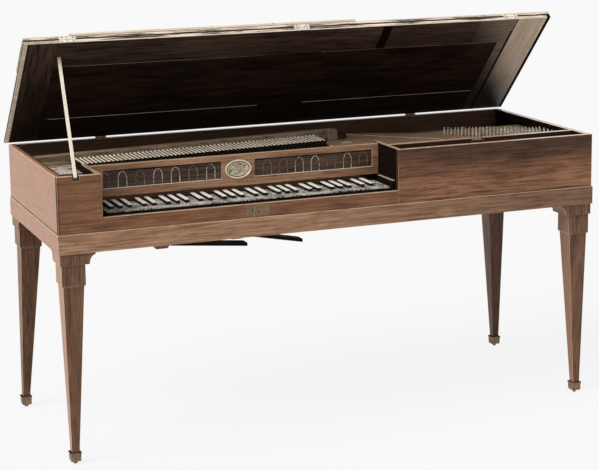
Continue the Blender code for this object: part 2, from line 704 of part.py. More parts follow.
def make_damper_levers():
    """All the levers on the strip that hinges them to the damper rail."""
    left = LEVER_FIRST - LEVER_WIDTH
    right = LEVER_LAST + LEVER_WIDTH
    clear = 2 * SEAM
    strip = [(left, damper_rail_front(left) - LEVER_STRIP), (right, damper_rail_front(right) - LEVER_STRIP),
             (right, damper_rail_front(right) - clear), (left, damper_rail_front(left) - clear)]
    middle_x = (left + right) / 2
    origin = (middle_x, damper_rail_front(middle_x), LEVER_TOP)
    shape = prism("z", strip, LEVER_TOP - LEVER_THICK + OVERLAP, LEVER_TOP - OVERLAP)
    levers = add("damper_levers", "dark", shape, origin)
    join(levers, gather([lever(i) for i in range(KEY_COUNT)]))


def make_inner_rail():
    """The rail inside the right-hand front, with a notch in its top."""
    left = KEYWELL_RIGHT + CHEEK_THICK + SEAM
    bottom = BOARD_LEVEL + SEAM
    notch = WREST_LEFT + RAIL_NOTCH_SHIFT
    notch_end = notch + RAIL_NOTCH_WIDTH
    outline = [(left, bottom), (INNER_RIGHT, bottom), (INNER_RIGHT, -SEAM), (notch_end, -SEAM),
               (notch_end, -RAIL_NOTCH_DEEP), (notch, -RAIL_NOTCH_DEEP), (notch, -SEAM), (left, -SEAM)]
    add("inner_rail", "case", prism("y", outline, INNER_RAIL_FRONT, INNER_RAIL_BACK))


def make_wrest_plank():
    """The plank that holds the tuning pins, with a slanted wing at its left and a foot at each end."""
    shoulder = CASE_DEPTH - WREST_SHOULDER_FROM_BACK
    outline = [right_side(WING_TIP), right_side(WING_ROOT), (WREST_LEFT, shoulder), (WREST_LEFT, WREST_FRONT),
               (INNER_RIGHT, WREST_FRONT), (INNER_RIGHT, WREST_BACK), right_side(WING_BACK_ROOT),
               right_side(WING_BACK_TIP)]
    plank = add("wrest_plank", "pale", prism("z", outline, WREST_UNDER, WREST_TOP))
    left_foot = (WREST_LEFT + OVERLAP, WREST_LEFT + WREST_FOOT)
    right_foot = (INNER_RIGHT - WREST_FOOT, INNER_RIGHT - OVERLAP)
    for foot, back in ((left_foot, shoulder), (right_foot, WREST_BACK)):
        depth = (WREST_FRONT + OVERLAP, back - OVERLAP)
        join(plank, box(foot, depth, (BOARD_LEVEL + SEAM, WREST_UNDER + OVERLAP)))


def slanted_bar(start, end, width, bottom, top):
    start = Vector(start)
    end = Vector(end)
    along = (end - start).normalized()
    across = Vector((-along.y, along.x)) * width / 2
    return prism("z", [start - across, end - across, end + across, start + across], bottom, top)


def make_belly_rail():
    """The upright board below the wing's slanted front edge."""
    start = Vector(right_side(WING_TIP)) + Vector((BELLY_SETBACK, 0))
    end = Vector(right_side(WING_ROOT)) + Vector((0, BELLY_SETBACK))
    bar = slanted_bar(start, end, BELLY_THICK, BOARD_LEVEL + SEAM, WREST_UNDER - SEAM)
    add("belly_rail", "pale", bar)


def make_treble_plank():
    """The flat plank behind the nameboard's right end, fixed to the inner rail."""
    cheek_right = KEYWELL_RIGHT + CHEEK_THICK + SEAM
    right = WREST_LEFT - PLANK_RIGHT_GAP
    front = INNER_RAIL_BACK + SEAM
    behind_cheek = CHEEK_BACK + SEAM
    left = KEYWELL_RIGHT - PLANK_LEFT_REACH
    outline = [(left, behind_cheek), (cheek_right, behind_cheek), (cheek_right, front), (right, front),
               (right, CASE_DEPTH - PLANK_BACK_RIGHT)]
    for shift, from_back in PLANK_SLIT + PLANK_LEFT_POINTS:
        outline.append((KEYWELL_RIGHT + shift, CASE_DEPTH - from_back))
    add("treble_plank", "pale", prism("z", outline, WREST_TOP - PLANK_THICK, WREST_TOP))


def make_soundboard():
    """The soundboard between the wrest plank and the back wall, with the bridge glued on it."""
    behind = 2 * SEAM
    tip, root = (Vector(right_side(place)) + Vector((0, behind)) for place in (WING_BACK_TIP, WING_BACK_ROOT))
    left = KEYWELL_RIGHT + BOARD_SHIFT
    outline = [(left, INNER_BACK), tip, root, (INNER_RIGHT, WREST_BACK + behind), (INNER_RIGHT, INNER_BACK)]
    board = add("soundboard", "pale", prism("z", outline, BOARD_TOP - BOARD_THICK, BOARD_TOP))
    start = right_side(BRIDGE_LEFT)
    end = (CASE_WIDTH - BRIDGE_RIGHT["from_end"], CASE_DEPTH - BRIDGE_RIGHT["from_back"])
    join(board, slanted_bar(start, end, BRIDGE_WIDTH, BOARD_TOP - OVERLAP, BOARD_TOP + BRIDGE_HEIGHT))


def make_hitch_plank():
    """The stepped plank at the left end that the strings are hitched to, on two feet."""
    low = HITCH_TOP - HITCH_STEP_DOWN
    under = HITCH_TOP - HITCH_THICK
    floor = BOARD_LEVEL + SEAM
    inner_front = HITCH_FRONT + HITCH_FOOT
    inner_back = HITCH_BACK - HITCH_FOOT
    outline = [(HITCH_FRONT, floor), (inner_front, floor), (inner_front, under), (inner_back, under),
               (inner_back, floor), (HITCH_BACK, floor), (HITCH_BACK, HITCH_TOP), (HITCH_STEP, HITCH_TOP),
               (HITCH_STEP, low), (HITCH_FRONT, low)]
    add("hitch_plank", "pale", prism("x", outline, INNER_LEFT, KEYWELL_LEFT - CHEEK_THICK - SEAM))


def make_band():
    """The stand's four rails, which the case stands on."""
    left = -BAND_PROUD
    right = CASE_WIDTH + BAND_PROUD
    height = (BAND_BOTTOM, BAND_TOP)
    front_back = BAND_THICK - BAND_PROUD
    back_front = CASE_DEPTH - BAND_THICK
    between = (front_back + SEAM, back_front - SEAM)
    add("front_rail", "case", box((left, right), (-BAND_PROUD, front_back), height))
    add("back_rail", "case", box((left, right), (back_front, CASE_DEPTH), height))
    add("left_rail", "case", box((left, left + BAND_THICK), between, height))
    add("right_rail", "case", box((right - BAND_THICK, right), between, height))


def capital_sections(top):
    """The capital from its lip down, curving inward on its two inner sides."""
    lip = top - CAPITAL_LIP
    side = CAPITAL_SIDE - CAPITAL_INSET
    found = [(CAPITAL_INSET, side, top), (CAPITAL_INSET, side, lip)]
    for i in range(1, CAPITAL_STEPS + 1):
        angle = math.pi / 2 * i / CAPITAL_STEPS
        narrower = (CAPITAL_SIDE - CAPITAL_FOOT) * math.sin(angle)
        lower = (CAPITAL_HEIGHT - CAPITAL_LIP) * (1 - math.cos(angle))
        found.append((CAPITAL_INSET, side - narrower, lip - lower))
    return found


def cup_sections(centre):
    """The brass-covered foot, down to its lower edge and up into the hollow for the wheel."""
    bottom_side = HOLLOW_SIDE + 2 * CUP_WALL
    neck_side = bottom_side + 2 * CUP_TAPER
    rim_side = neck_side + 2 * CUP_RIM_PROUD
    cup = [(rim_side, CUP_TOP), (rim_side, CUP_TOP - CUP_RIM), (neck_side, CUP_TOP - CUP_RIM),
           (bottom_side, CUP_BOTTOM), (HOLLOW_SIDE, CUP_BOTTOM), (HOLLOW_SIDE, CUP_HOLLOW_TOP)]
    return [(centre - side / 2, side, FLOOR + height) for side, height in cup]


def leg_sections(foot_inset):
    """(inset from the corner, side, height) of each square level of a leg, from the top down."""
    top = BAND_BOTTOM - SEAM
    collar_top = top - CAPITAL_HEIGHT
    collar_foot = collar_top - COLLAR_HEIGHT
    found = capital_sections(top)
    found.append((COLLAR_INSET, COLLAR_SIDE, collar_top))
    found.append((COLLAR_INSET, COLLAR_SIDE, collar_foot))
    found.append((COLLAR_INSET + TAPER_STEP, COLLAR_SIDE - 2 * TAPER_STEP, collar_foot - TAPER_STEP))
    found.append((foot_inset, TAPER_FOOT_SIDE, FLOOR + CUP_TOP))
    return found + cup_sections(foot_inset + TAPER_FOOT_SIDE / 2)


def corner_span(inset, side, length, far):
    """A span measured from the near end of the case, or from its far end."""
    return (length - inset - side, length - inset) if far else (inset, inset + side)


def make_legs():
    for name, corner in CORNERS.items():
        foot_inset = BACK_FOOT_INSET if corner["back"] else FRONT_FOOT_INSET
        levels = []
        for inset, side, height in leg_sections(foot_inset):
            x = corner_span(inset, side, CASE_WIDTH, corner["right"])
            y = corner_span(inset, side, CASE_DEPTH, corner["back"])
            levels.append((x, y, height))
        add("leg_" + name, "case", loft(levels))
        x = sum(corner_span(foot_inset, TAPER_FOOT_SIDE, CASE_WIDTH, corner["right"])) / 2
        y = sum(corner_span(foot_inset, TAPER_FOOT_SIDE, CASE_DEPTH, corner["back"])) / 2
        make_castor("castor_" + name, x, y, corner["turn"])


def make_castor(name, x, y, turn):
    """A small wheel and its upright stem, which turn together in the hollow of the leg's cup."""
    axle = FLOOR + WHEEL_RADIUS
    half = WHEEL_WIDTH / 2
    wheel = cylinder("x", (y, axle), WHEEL_RADIUS, x - half, x + half, WHEEL_SIDES)
    castor = add(name, "brass", wheel, (x, y, FLOOR), round_edges=True)
    top = FLOOR + CUP_HOLLOW_TOP - SEAM
    join(castor, cylinder("z", (x, y), STEM_RADIUS, axle, top, STEM_SIDES))
    castor.rotation_euler.z = math.radians(turn)


def knee_span(sizes):
    return sizes["y"], sizes["y"] + KNEE_DEPTH


def make_knee_lever(name, sizes):
    """A sloping board below the case that a knee pushes up, turning on its rounded end."""
    x = sizes["x"]
    z = CASE_BOTTOM - sizes["below"]
    radius = KNEE_BOARD_THICK / 2
    end_x = x + sizes["reach"]
    end_z = z - sizes["fall"]
    slope = math.atan2(-sizes["fall"], sizes["reach"])
    outline = []
    for i in range(KNEE_END_STEPS + 1):
        angle = slope + math.pi / 2 + math.pi * i / KNEE_END_STEPS
        outline.append((x + radius * math.cos(angle), z + radius * math.sin(angle)))
    outline.append((end_x, end_z - radius))
    outline.append((end_x, end_z + radius))
    add(name, "case", prism("y", outline, *knee_span(sizes)), (x, sizes["y"] + KNEE_DEPTH / 2, z))


def knee_block(sizes):
    """The block beside a knee lever's rounded end, down from the batten."""
    z = CASE_BOTTOM - sizes["below"]
    radius = KNEE_BOARD_THICK / 2
    face = sizes["x"] - radius - KNEE_SPACE
    left = face - KNEE_BLOCK_WIDTH
    top = CASE_BOTTOM - SEAM - OVERLAP
    foot = z - radius - KNEE_BLOCK_FOOT
    outline = [(left, top), (left, z + KNEE_BLOCK_FOOT), (left + KNEE_BLOCK_SLOPE, foot),
               (face - radius, foot), (face, z - radius), (face, top)]
    return prism("y", outline, *knee_span(sizes))


def make_knee_blocks():
    """One batten below the bottom board, with the two blocks that carry the knee levers."""
    left = KNEE_LEFT["x"] - KNEE_BLOCK_WIDTH - KNEE_BATTEN_END
    right = KNEE_RIGHT["x"] + KNEE_BATTEN_END
    depth = (KNEE_LEFT["y"] - KNEE_BATTEN_SIDE, knee_span(KNEE_RIGHT)[1] + KNEE_BATTEN_SIDE)
    top = CASE_BOTTOM - SEAM
    batten = add("knee_blocks", "pale", box((left, right), depth, (top - KNEE_BATTEN_THICK, top)))
    join(batten, knee_block(KNEE_LEFT))
    join(batten, knee_block(KNEE_RIGHT))


def make_lid_hinges():
    """Each hinge's leaf is let into the top of the back wall, with its barrel behind the case."""
    deep = (-LEAF_THICK - SEAM, -SEAM)
    for side, left in LID_HINGES.items():
        span = (left, left + LID_HINGE_WIDTH)
        hinge = add("lid_hinge_" + side, "brass", box(span, (CASE_DEPTH - BACK_THICK, LID_AXIS.y), deep))
        join(hinge, cylinder("x", (LID_AXIS.y, LID_AXIS.z), LID_BARREL, *span, BARREL_SIDES))


def hinge_room(left):
    """The space around a hinge barrel at the joint between the lid and its flap."""
    reach = FLAP_BARREL + HINGE_ROOM
    span = (left - 2 * SEAM, left + FLAP_HINGE_WIDTH + 2 * SEAM)
    depth = (FLAP_AXIS.y - reach, FLAP_AXIS.y + reach)
    return box(span, depth, (FLAP_AXIS.z - reach, FLAP_AXIS.z + OVERCUT))


def make_flap_hinge(side, left, lid_pivot):
    """A barrel at the joint between the lid and its flap, with its leaf against the lid's front edge."""
    span = (left, left + FLAP_HINGE_WIDTH)
    leaf_back = FLAP_DEPTH + FLAP_EDGE_GAP - SEAM
    leaf = box(span, (leaf_back - FLAP_LEAF, leaf_back), (LID_BOTTOM + OVERLAP, FLAP_AXIS.z))
    hinge = add("flap_hinge_" + side, "brass", leaf)
    join(hinge, cylinder("x", (FLAP_AXIS.y, FLAP_AXIS.z), FLAP_BARREL, *span, BARREL_SIDES))
    hang(hinge, lid_pivot, LID_AXIS)


def make_lid(lid_pivot):
    span = (-LID_OVERHANG, CASE_WIDTH + LID_OVERHANG)
    front = FLAP_DEPTH + FLAP_EDGE_GAP
    lid = add("lid", "dark", box(span, (front, CASE_DEPTH), (LID_BOTTOM, LID_TOP)))
    hang(lid, lid_pivot, LID_AXIS)
    for side, left in FLAP_HINGES.items():
        cut(lid, hinge_room(left))
        make_flap_hinge(side, left, lid_pivot)


def make_flap(flap_pivot):
    span = (-LID_OVERHANG, CASE_WIDTH + LID_OVERHANG)
    flap = add("lid_flap", "dark", box(span, (0, FLAP_DEPTH - FLAP_EDGE_GAP), (FLAP_BOTTOM, LID_TOP)))
    for left in FLAP_HINGES.values():
        cut(flap, hinge_room(left))
    hang(flap, flap_pivot, FLAP_AXIS)


def make_fall(fall_pivot):
    span = (KEYWELL_LEFT + FALL_SIDE_GAP, KEYWELL_RIGHT - FALL_SIDE_GAP)
    depth = (FALL_AXIS.y, FALL_AXIS.y + FALL_DEPTH)
    fall = add("fall_board", "dark", box(span, depth, (FALL_AXIS.z - FALL_THICK, FALL_AXIS.z)))
    hang(fall, fall_pivot, FALL_AXIS)


def opened(point):
    """Where a point of the shut lid lies once the lid is open."""
    turn = Matrix.Rotation(-LID_OPEN, 3, "X")
    return LID_AXIS + turn @ (Vector(point) - LID_AXIS)


def prop_outline(length):
    """Side view of the prop stick, along its hinge: the end at the hinge is round."""
    half = PROP_SIDE / 2
    outline = [(-half, -length), (half, -length)]
    for i in range(PROP_END_STEPS + 1):
        angle = math.pi * i / PROP_END_STEPS
        outline.append((half * math.cos(angle), half * math.sin(angle)))
    return outline


def make_prop():
    """The stick between the lid and the notch in the front wall. Its hinge at the lid is square to it
    both here and when it lies along the shut lid, in line with the notch."""
    hinge = Vector((PROP_TIP_X, CASE_DEPTH - PROP_TIP_ALONG, LID_BOTTOM - PROP_DROP))
    foot = Vector((PROP_FOOT_X, FRONT_THICK - PROP_FOOT_INSIDE, -PROP_FOOT_DOWN))
    tip = opened(hinge)
    reach = foot - tip
    folded = Vector((foot.x - hinge.x, FRONT_THICK / 2 - hinge.y, 0))
    axis = reach.cross(Matrix.Rotation(-LID_OPEN, 3, "X") @ folded).normalized()
    upward = -reach.normalized()
    half = PROP_SIDE / 2
    shape = prism("x", prop_outline(reach.length), -half, half)
    prop = add("prop_stick", "pale", shape, (0, 0, 0))
    prop.rotation_mode = "QUATERNION"
    prop.rotation_quaternion = Matrix((axis, upward.cross(axis), upward)).transposed().to_quaternion()
    prop.location = world(tip)


def clear_scene():
    for old in list(bpy.data.objects):
        bpy.data.objects.remove(old, do_unlink=True)


def main():
    clear_scene()
    make_case()
    make_cheeks()
    make_key_slip()
    make_nameboard()
    make_key_frame()
    make_single_keys()
    make_key_group("keys_bass", 0, SINGLE_FIRST - 1)
    make_key_group("keys_treble", SINGLE_LAST + 1, KEY_COUNT - 1)
    make_hammer_rail()
    make_damper_rail()
    make_damper_levers()
    make_inner_rail()
    make_wrest_plank()
    make_belly_rail()
    make_treble_plank()
    make_soundboard()
    make_hitch_plank()
    make_band()
    make_legs()
    make_knee_blocks()
    make_knee_lever("knee_lever_left", KNEE_LEFT)
    make_knee_lever("knee_lever_right", KNEE_RIGHT)
    make_lid_hinges()
    lid_pivot = pivot("lid_pivot", LID_AXIS)
    lid_pivot.rotation_euler.x = -LID_OPEN
    flap_pivot = pivot("flap_pivot", FLAP_AXIS, lid_pivot, LID_AXIS)
    flap_pivot.rotation_euler.x = math.pi
    fall_pivot = pivot("fall_pivot", FALL_AXIS, flap_pivot, FLAP_AXIS)
    make_lid(lid_pivot)
    make_flap(flap_pivot)
    make_fall(fall_pivot)
    make_prop()


main()
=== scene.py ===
import math
import random

import bmesh
import bpy
from mathutils import Matrix, Vector


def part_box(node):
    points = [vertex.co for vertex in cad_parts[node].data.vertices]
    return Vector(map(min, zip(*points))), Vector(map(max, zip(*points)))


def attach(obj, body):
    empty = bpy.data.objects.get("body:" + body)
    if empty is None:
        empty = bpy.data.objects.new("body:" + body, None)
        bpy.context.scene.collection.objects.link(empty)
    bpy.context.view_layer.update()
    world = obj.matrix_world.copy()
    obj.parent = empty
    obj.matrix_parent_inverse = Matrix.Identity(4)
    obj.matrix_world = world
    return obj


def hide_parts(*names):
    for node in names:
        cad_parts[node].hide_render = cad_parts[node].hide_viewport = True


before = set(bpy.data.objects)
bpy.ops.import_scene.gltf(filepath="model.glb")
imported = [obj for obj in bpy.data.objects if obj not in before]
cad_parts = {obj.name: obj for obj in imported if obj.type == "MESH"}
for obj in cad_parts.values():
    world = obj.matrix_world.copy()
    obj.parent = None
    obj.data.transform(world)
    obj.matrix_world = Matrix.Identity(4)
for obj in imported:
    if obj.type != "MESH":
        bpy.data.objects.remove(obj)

random.seed(61)
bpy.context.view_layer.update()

# Places are measured in metres from the left front corner of the case's rim, as on a drawing of the
# piano: x to the right, y to the back, z up.
caseCorner = Vector((-0.813, -0.2955, 0.803))
caseWidth = 1.626
caseDepth = 0.591
caseBottom = -0.157


def at(x, y, z):
    return caseCorner + Vector((x, y, z))


# ---- small helpers for picking and shaping

def pickOnly(*pieces):
    bpy.ops.object.select_all(action="DESELECT")
    for piece in pieces:
        piece.select_set(True)
    bpy.context.view_layer.objects.active = pieces[0]


def startEdit(piece, mode="FACE"):
    pickOnly(piece)
    bpy.ops.object.mode_set(mode="EDIT")
    bpy.ops.mesh.select_mode(type=mode)
    bpy.ops.mesh.select_all(action="DESELECT")
    return bmesh.from_edit_mesh(piece.data)


def endEdit():
    bpy.ops.object.mode_set(mode="OBJECT")


def moveBy(piece, matrix):
    # turns or moves a piece and puts the change into its mesh
    pickOnly(piece)
    piece.matrix_world = matrix
    bpy.ops.object.transform_apply(location=True, rotation=True, scale=True)
    return piece


def takeNode(node, name, body="case", pose=None):
    # a copy of a CAD node, made of whole faces again, which stands for the node; pose is where its body
    # has moved to, so that the copy can be shaped as it lies with the lid shut
    piece = bpy.data.objects.new(name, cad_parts[node].data.copy())
    bpy.context.collection.objects.link(piece)
    piece.data.materials.clear()
    if pose:
        moveBy(piece, pose.inverted())
    startEdit(piece)
    bpy.ops.mesh.select_all(action="SELECT")
    bpy.ops.mesh.remove_doubles(threshold=0.00001)
    bpy.ops.mesh.dissolve_limited(angle_limit=math.radians(0.4))
    endEdit()
    if piece.data.has_custom_normals:
        bpy.ops.mesh.customdata_custom_splitnormals_clear()
    bpy.ops.object.shade_flat()
    settle(piece, body)
    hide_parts(node)
    return piece


def settle(piece, body="case"):
    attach(piece, body)


def roundEdges(piece, width, steps=2, sharp=30, only=None):
    # rounds the sharp edges and marks the new faces, which the finishes lighten as wear and painted highlight; only(a,
    # b) says which edges, by their ends
    faces = piece.data.polygons
    if "wearAndHighlight" not in piece.data.attributes:
        piece.data.attributes.new("wearAndHighlight", "FLOAT", "FACE")
    piece.data.materials.clear()
    for slot in range(2):                         # the second slot marks the new faces for a moment
        piece.data.materials.append(None)
    faces.foreach_set("material_index", [0] * len(faces))
    mesh = startEdit(piece, "EDGE")
    for edge in mesh.edges:
        if len(edge.link_faces) == 2 and edge.calc_face_angle() > math.radians(sharp):
            ends = [vertex.co - caseCorner for vertex in edge.verts]
            edge.select = only is None or only(*ends)
    mesh.select_flush_mode()
    bmesh.update_edit_mesh(piece.data)
    bpy.ops.mesh.bevel(offset=width, segments=steps, affect="EDGES", clamp_overlap=True, material=1)
    endEdit()
    faces = piece.data.polygons
    wearAndHighlight = piece.data.attributes["wearAndHighlight"].data
    wearAndHighlight.foreach_set("value", [max(wearAndHighlight[i].value, float(faces[i].material_index)) for i in range(len(faces))])
    faces.foreach_set("material_index", [0] * len(faces))
    piece.data.materials.clear()


def awayFrom(**planes):
    # an only() for roundEdges: leaves out the edges that lie in these planes, such as x=(0.1, 0.2)
    def wanted(a, b):
        for axis, places in planes.items():
            for place in places:
                if all(abs(getattr(end, axis) - place) < 0.0004 for end in (a, b)):
                    return False
        return True
    return wanted


def paintFaces(piece, finishes, choose):
    # choose(middle, normal) gives each face its finish's number
    for finish in finishes:
        piece.data.materials.append(finish)
    for face in piece.data.polygons:
        face.material_index = choose(face.center - caseCorner, face.normal)


def paint(piece, finish):
    piece.data.materials.clear()
    piece.data.materials.append(finish)
    return piece


def cutAt(piece, axis, place, keep=None):
    # cuts all faces at a level; keep is "below" or "above" where the other side goes
    point = Vector((0, 0, 0))
    normal = Vector((0, 0, 0))
    point["xyz".index(axis)] = place + caseCorner["xyz".index(axis)]
    normal["xyz".index(axis)] = 1
    startEdit(piece)
    bpy.ops.mesh.select_all(action="SELECT")
    bpy.ops.mesh.bisect(plane_co=point, plane_no=normal, use_fill=keep is not None,
                        clear_outer=keep == "below", clear_inner=keep == "above")
    endEdit()


def addBlock(name, x, y, z):
    bpy.ops.object.select_all(action="DESELECT")
    low, high = at(x[0], y[0], z[0]), at(x[1], y[1], z[1])
    bpy.ops.mesh.primitive_cube_add(size=1, location=(low + high) / 2)
    block = bpy.context.active_object
    block.name = name
    block.scale = high - low
    bpy.ops.object.transform_apply(location=True, rotation=True, scale=True)
    return block


def addRound(name, centre, radius, length, axis="z", sides=16):
    # a short cylinder around a point
    turns = {"x": (0, math.pi / 2, 0), "y": (math.pi / 2, 0, 0), "z": (0, 0, 0)}
    bpy.ops.object.select_all(action="DESELECT")
    bpy.ops.mesh.primitive_cylinder_add(vertices=sides, radius=radius, depth=length,
                                        location=at(*centre), rotation=turns[axis])
    disc = bpy.context.active_object
    disc.name = name
    bpy.ops.object.transform_apply(location=True, rotation=True, scale=True)
    return disc


def copyOf(piece, name, shift):
    twin = bpy.data.objects.new(name, piece.data.copy())
    twin.data.transform(Matrix.Translation(shift))
    bpy.context.collection.objects.link(twin)
    return twin


def joinAs(name, pieces):
    pickOnly(*pieces)
    if len(pieces) > 1:
        bpy.ops.object.join()
    pieces[0].name = name
    return pieces[0]


# ---- finishes

def addNode(tree, kind, inputs=None, **settings):
    node = tree.nodes.new(kind)
    for setting, value in settings.items():
        setattr(node, setting, value)
    for socket, value in (inputs or {}).items():
        if isinstance(value, bpy.types.NodeSocket):
            tree.links.new(value, node.inputs[socket])
        else:
            node.inputs[socket].default_value = value
    return node


def calculate(tree, operation, *values):
    node = addNode(tree, "ShaderNodeMath", dict(enumerate(values)), operation=operation, use_clamp=True)
    return node.outputs[0]


def spread(tree, value, low, high):
    # stretches the part of a pattern between low and high to 0..1
    node = addNode(tree, "ShaderNodeMapRange", {"Value": value, "From Min": low, "From Max": high})
    return node.outputs[0]


def blend(tree, factor, first, second):
    node = addNode(tree, "ShaderNodeMix", {0: factor, 6: first, 7: second}, data_type="RGBA")
    return node.outputs[2]


def cloudy(tree, vector, stretch, detail=4.0, roughness=0.6, twist=0.0):
    moved = addNode(tree, "ShaderNodeMapping", {"Vector": vector, "Scale": stretch})
    inputs = {"Vector": moved.outputs[0], "Scale": 1.0, "Detail": detail, "Roughness": roughness, "Distortion": twist}
    return addNode(tree, "ShaderNodeTexNoise", inputs).outputs["Fac"]


def newGroup(name, inputs, outputs):
    tree = bpy.data.node_groups.new(name, "ShaderNodeTree")
    kinds = {"v": "NodeSocketVector", "c": "NodeSocketColor", "f": "NodeSocketFloat"}
    for label, kind in inputs.items():
        tree.interface.new_socket(label, in_out="INPUT", socket_type=kinds[kind])
    for label, kind in outputs.items():
        tree.interface.new_socket(label, in_out="OUTPUT", socket_type=kinds[kind])
    return tree, tree.nodes.new("NodeGroupInput").outputs, tree.nodes.new("NodeGroupOutput").inputs


def makeWoodGroup():
    # grain along x: long streaks, soft clouds, open pores and a few dents, lighter on the rounded edges as wear and
    # painted highlight
    tree, given, result = newGroup(
        "agedWood", {"Vector": "v", "Dark": "c", "Light": "c", "WornAndLit": "c", "Contrast": "f", "Edge": "f", "Roughness": "f"},
        {"Color": "c", "Roughness": "f", "Height": "f"})
    vector = given["Vector"]
    streaks = cloudy(tree, vector, (7, 210, 210), detail=6, roughness=0.7, twist=0.3)
    clouds = cloudy(tree, vector, (5, 24, 24), detail=6, roughness=0.66, twist=1.1)
    pores = spread(tree, cloudy(tree, vector, (34, 900, 900), detail=2), 0.56, 0.74)
    dents = spread(tree, cloudy(tree, vector, (70, 120, 120), detail=1), 0.72, 0.78)
    tone = calculate(tree, "MULTIPLY_ADD", streaks, 0.62, calculate(tree, "MULTIPLY", clouds, 0.38))
    centred = addNode(tree, "ShaderNodeMath", {0: tone, 1: 0.5}, operation="SUBTRACT").outputs[0]
    scaled = addNode(tree, "ShaderNodeMath", {0: centred, 1: given["Contrast"]}, operation="MULTIPLY").outputs[0]
    shade = calculate(tree, "MULTIPLY_ADD", scaled, 4.2, 0.5)
    colour = blend(tree, shade, given["Dark"], given["Light"])
    colour = blend(tree, calculate(tree, "MULTIPLY", pores, 0.42), colour, (0.006, 0.004, 0.003, 1))
    colour = blend(tree, calculate(tree, "MULTIPLY", dents, 0.6), colour, (0.008, 0.005, 0.004, 1))
    # rounded edges lightened in patches: wear and painted highlight
    patchy = calculate(tree, "MULTIPLY", given["Edge"], spread(tree, cloudy(tree, vector, (30, 30, 30)), 0.3, 0.62))
    tree.links.new(blend(tree, patchy, colour, given["WornAndLit"]), result["Color"])
    rough = addNode(tree, "ShaderNodeMath", {0: clouds, 1: 0.22, 2: given["Roughness"]}, operation="MULTIPLY_ADD")
    tree.links.new(calculate(tree, "MULTIPLY_ADD", pores, 0.15, rough.outputs[0]), result["Roughness"])
    relief = addNode(tree, "ShaderNodeMath", {0: streaks, 1: pores}, operation="SUBTRACT")
    tree.links.new(relief.outputs[0], result["Height"])
    return tree


def makeMetalGroup():
    # rubbed high spots, dull brown tarnish and fine scratches
    tree, given, result = newGroup(
        "agedMetal", {"Vector": "v", "Bright": "c", "Tarnish": "c", "Edge": "f", "Roughness": "f"},
        {"Color": "c", "Roughness": "f", "Height": "f"})
    vector = given["Vector"]
    patches = spread(tree, cloudy(tree, vector, (95, 95, 95), detail=5, roughness=0.65, twist=0.4), 0.36, 0.62)
    scratches = spread(tree, cloudy(tree, vector, (60, 1500, 1500), detail=2), 0.55, 0.8)
    rubbed = calculate(tree, "SUBTRACT", patches, calculate(tree, "MULTIPLY", given["Edge"], 0.8))
    tree.links.new(blend(tree, rubbed, given["Bright"], given["Tarnish"]), result["Color"])
    rough = addNode(tree, "ShaderNodeMath", {0: patches, 1: 0.25, 2: given["Roughness"]}, operation="MULTIPLY_ADD")
    tree.links.new(rough.outputs[0], result["Roughness"])
    relief = addNode(tree, "ShaderNodeMath", {0: patches, 1: scratches}, operation="ADD")
    tree.links.new(relief.outputs[0], result["Height"])
    return tree


def makeSpeckleGroup():
    # small irregular flecks, as on rubbed ebony, old bone, cloth or leather; on ebony the light flecks are painted
    # glints
    tree, given, result = newGroup(
        "speckled", {"Vector": "v", "Dark": "c", "Light": "c", "Size": "f", "Amount": "f", "Roughness": "f"},
        {"Color": "c", "Roughness": "f", "Height": "f"})
    inverse = addNode(tree, "ShaderNodeMath", {0: 1.0, 1: given["Size"]}, operation="DIVIDE").outputs[0]
    scaled = addNode(tree, "ShaderNodeVectorMath", {0: given["Vector"], "Scale": inverse}, operation="SCALE").outputs[0]
    flecks = cloudy(tree, scaled, (1, 1, 1), detail=3, roughness=0.7)
    large = cloudy(tree, scaled, (0.12, 0.12, 0.12), detail=3, roughness=0.5)
    both = calculate(tree, "ADD", calculate(tree, "MULTIPLY", flecks, 0.65), calculate(tree, "MULTIPLY", large, 0.35))
    centred = addNode(tree, "ShaderNodeMath", {0: both, 1: 0.5}, operation="SUBTRACT").outputs[0]
    wide = addNode(tree, "ShaderNodeMath", {0: centred, 1: given["Amount"]}, operation="MULTIPLY").outputs[0]
    shade = calculate(tree, "MULTIPLY_ADD", wide, 4.0, 0.5)
    tree.links.new(blend(tree, shade, given["Dark"], given["Light"]), result["Color"])
    rough = addNode(tree, "ShaderNodeMath", {0: flecks, 1: 0.3, 2: given["Roughness"]}, operation="MULTIPLY_ADD")
    tree.links.new(rough.outputs[0], result["Roughness"])
    tree.links.new(flecks, result["Height"])
    return tree


def makePaintedLightRampGroup():
    # painted light and shade: darkens a colour towards one side of the piece; Along points to the lighter side
    tree, given, result = newGroup(
        "paintedLightRamp", {"Vector": "v", "Color": "c", "Along": "v", "From": "f", "Till": "f", "Least": "f"}, {"Color": "c"})
    along = addNode(tree, "ShaderNodeVectorMath", {0: given["Vector"], 1: given["Along"]}, operation="DOT_PRODUCT")
    ragged = addNode(tree, "ShaderNodeMath", {0: cloudy(tree, given["Vector"], (9, 9, 9)), 1: 0.06,
                                              2: along.outputs["Value"]}, operation="MULTIPLY_ADD").outputs[0]
    share = addNode(tree, "ShaderNodeMapRange", {"Value": ragged, "From Min": given["From"], "From Max": given["Till"],
                                                 "To Min": given["Least"], "To Max": 1.0},
                    interpolation_type="SMOOTHSTEP").outputs[0]
    scaled = addNode(tree, "ShaderNodeVectorMath", {0: given["Color"], "Scale": share}, operation="SCALE").outputs[0]
    tree.links.new(scaled, result["Color"])
    return tree


agedWood = makeWoodGroup()
agedMetal = makeMetalGroup()
speckled = makeSpeckleGroup()
paintedLightRamp = makePaintedLightRampGroup()

lidAngle = math.radians(45.5)
grainTurns = {
    "x": (0, 0, 0),
    "y": (0, 0, math.pi / 2),
    "z": (0, math.pi / 2, 0),
    "lid": (lidAngle, 0, 0),                    # along x, on the open lid
    "clamp": (lidAngle, 0, math.pi / 2),        # from hinge to front edge, on the open lid
}


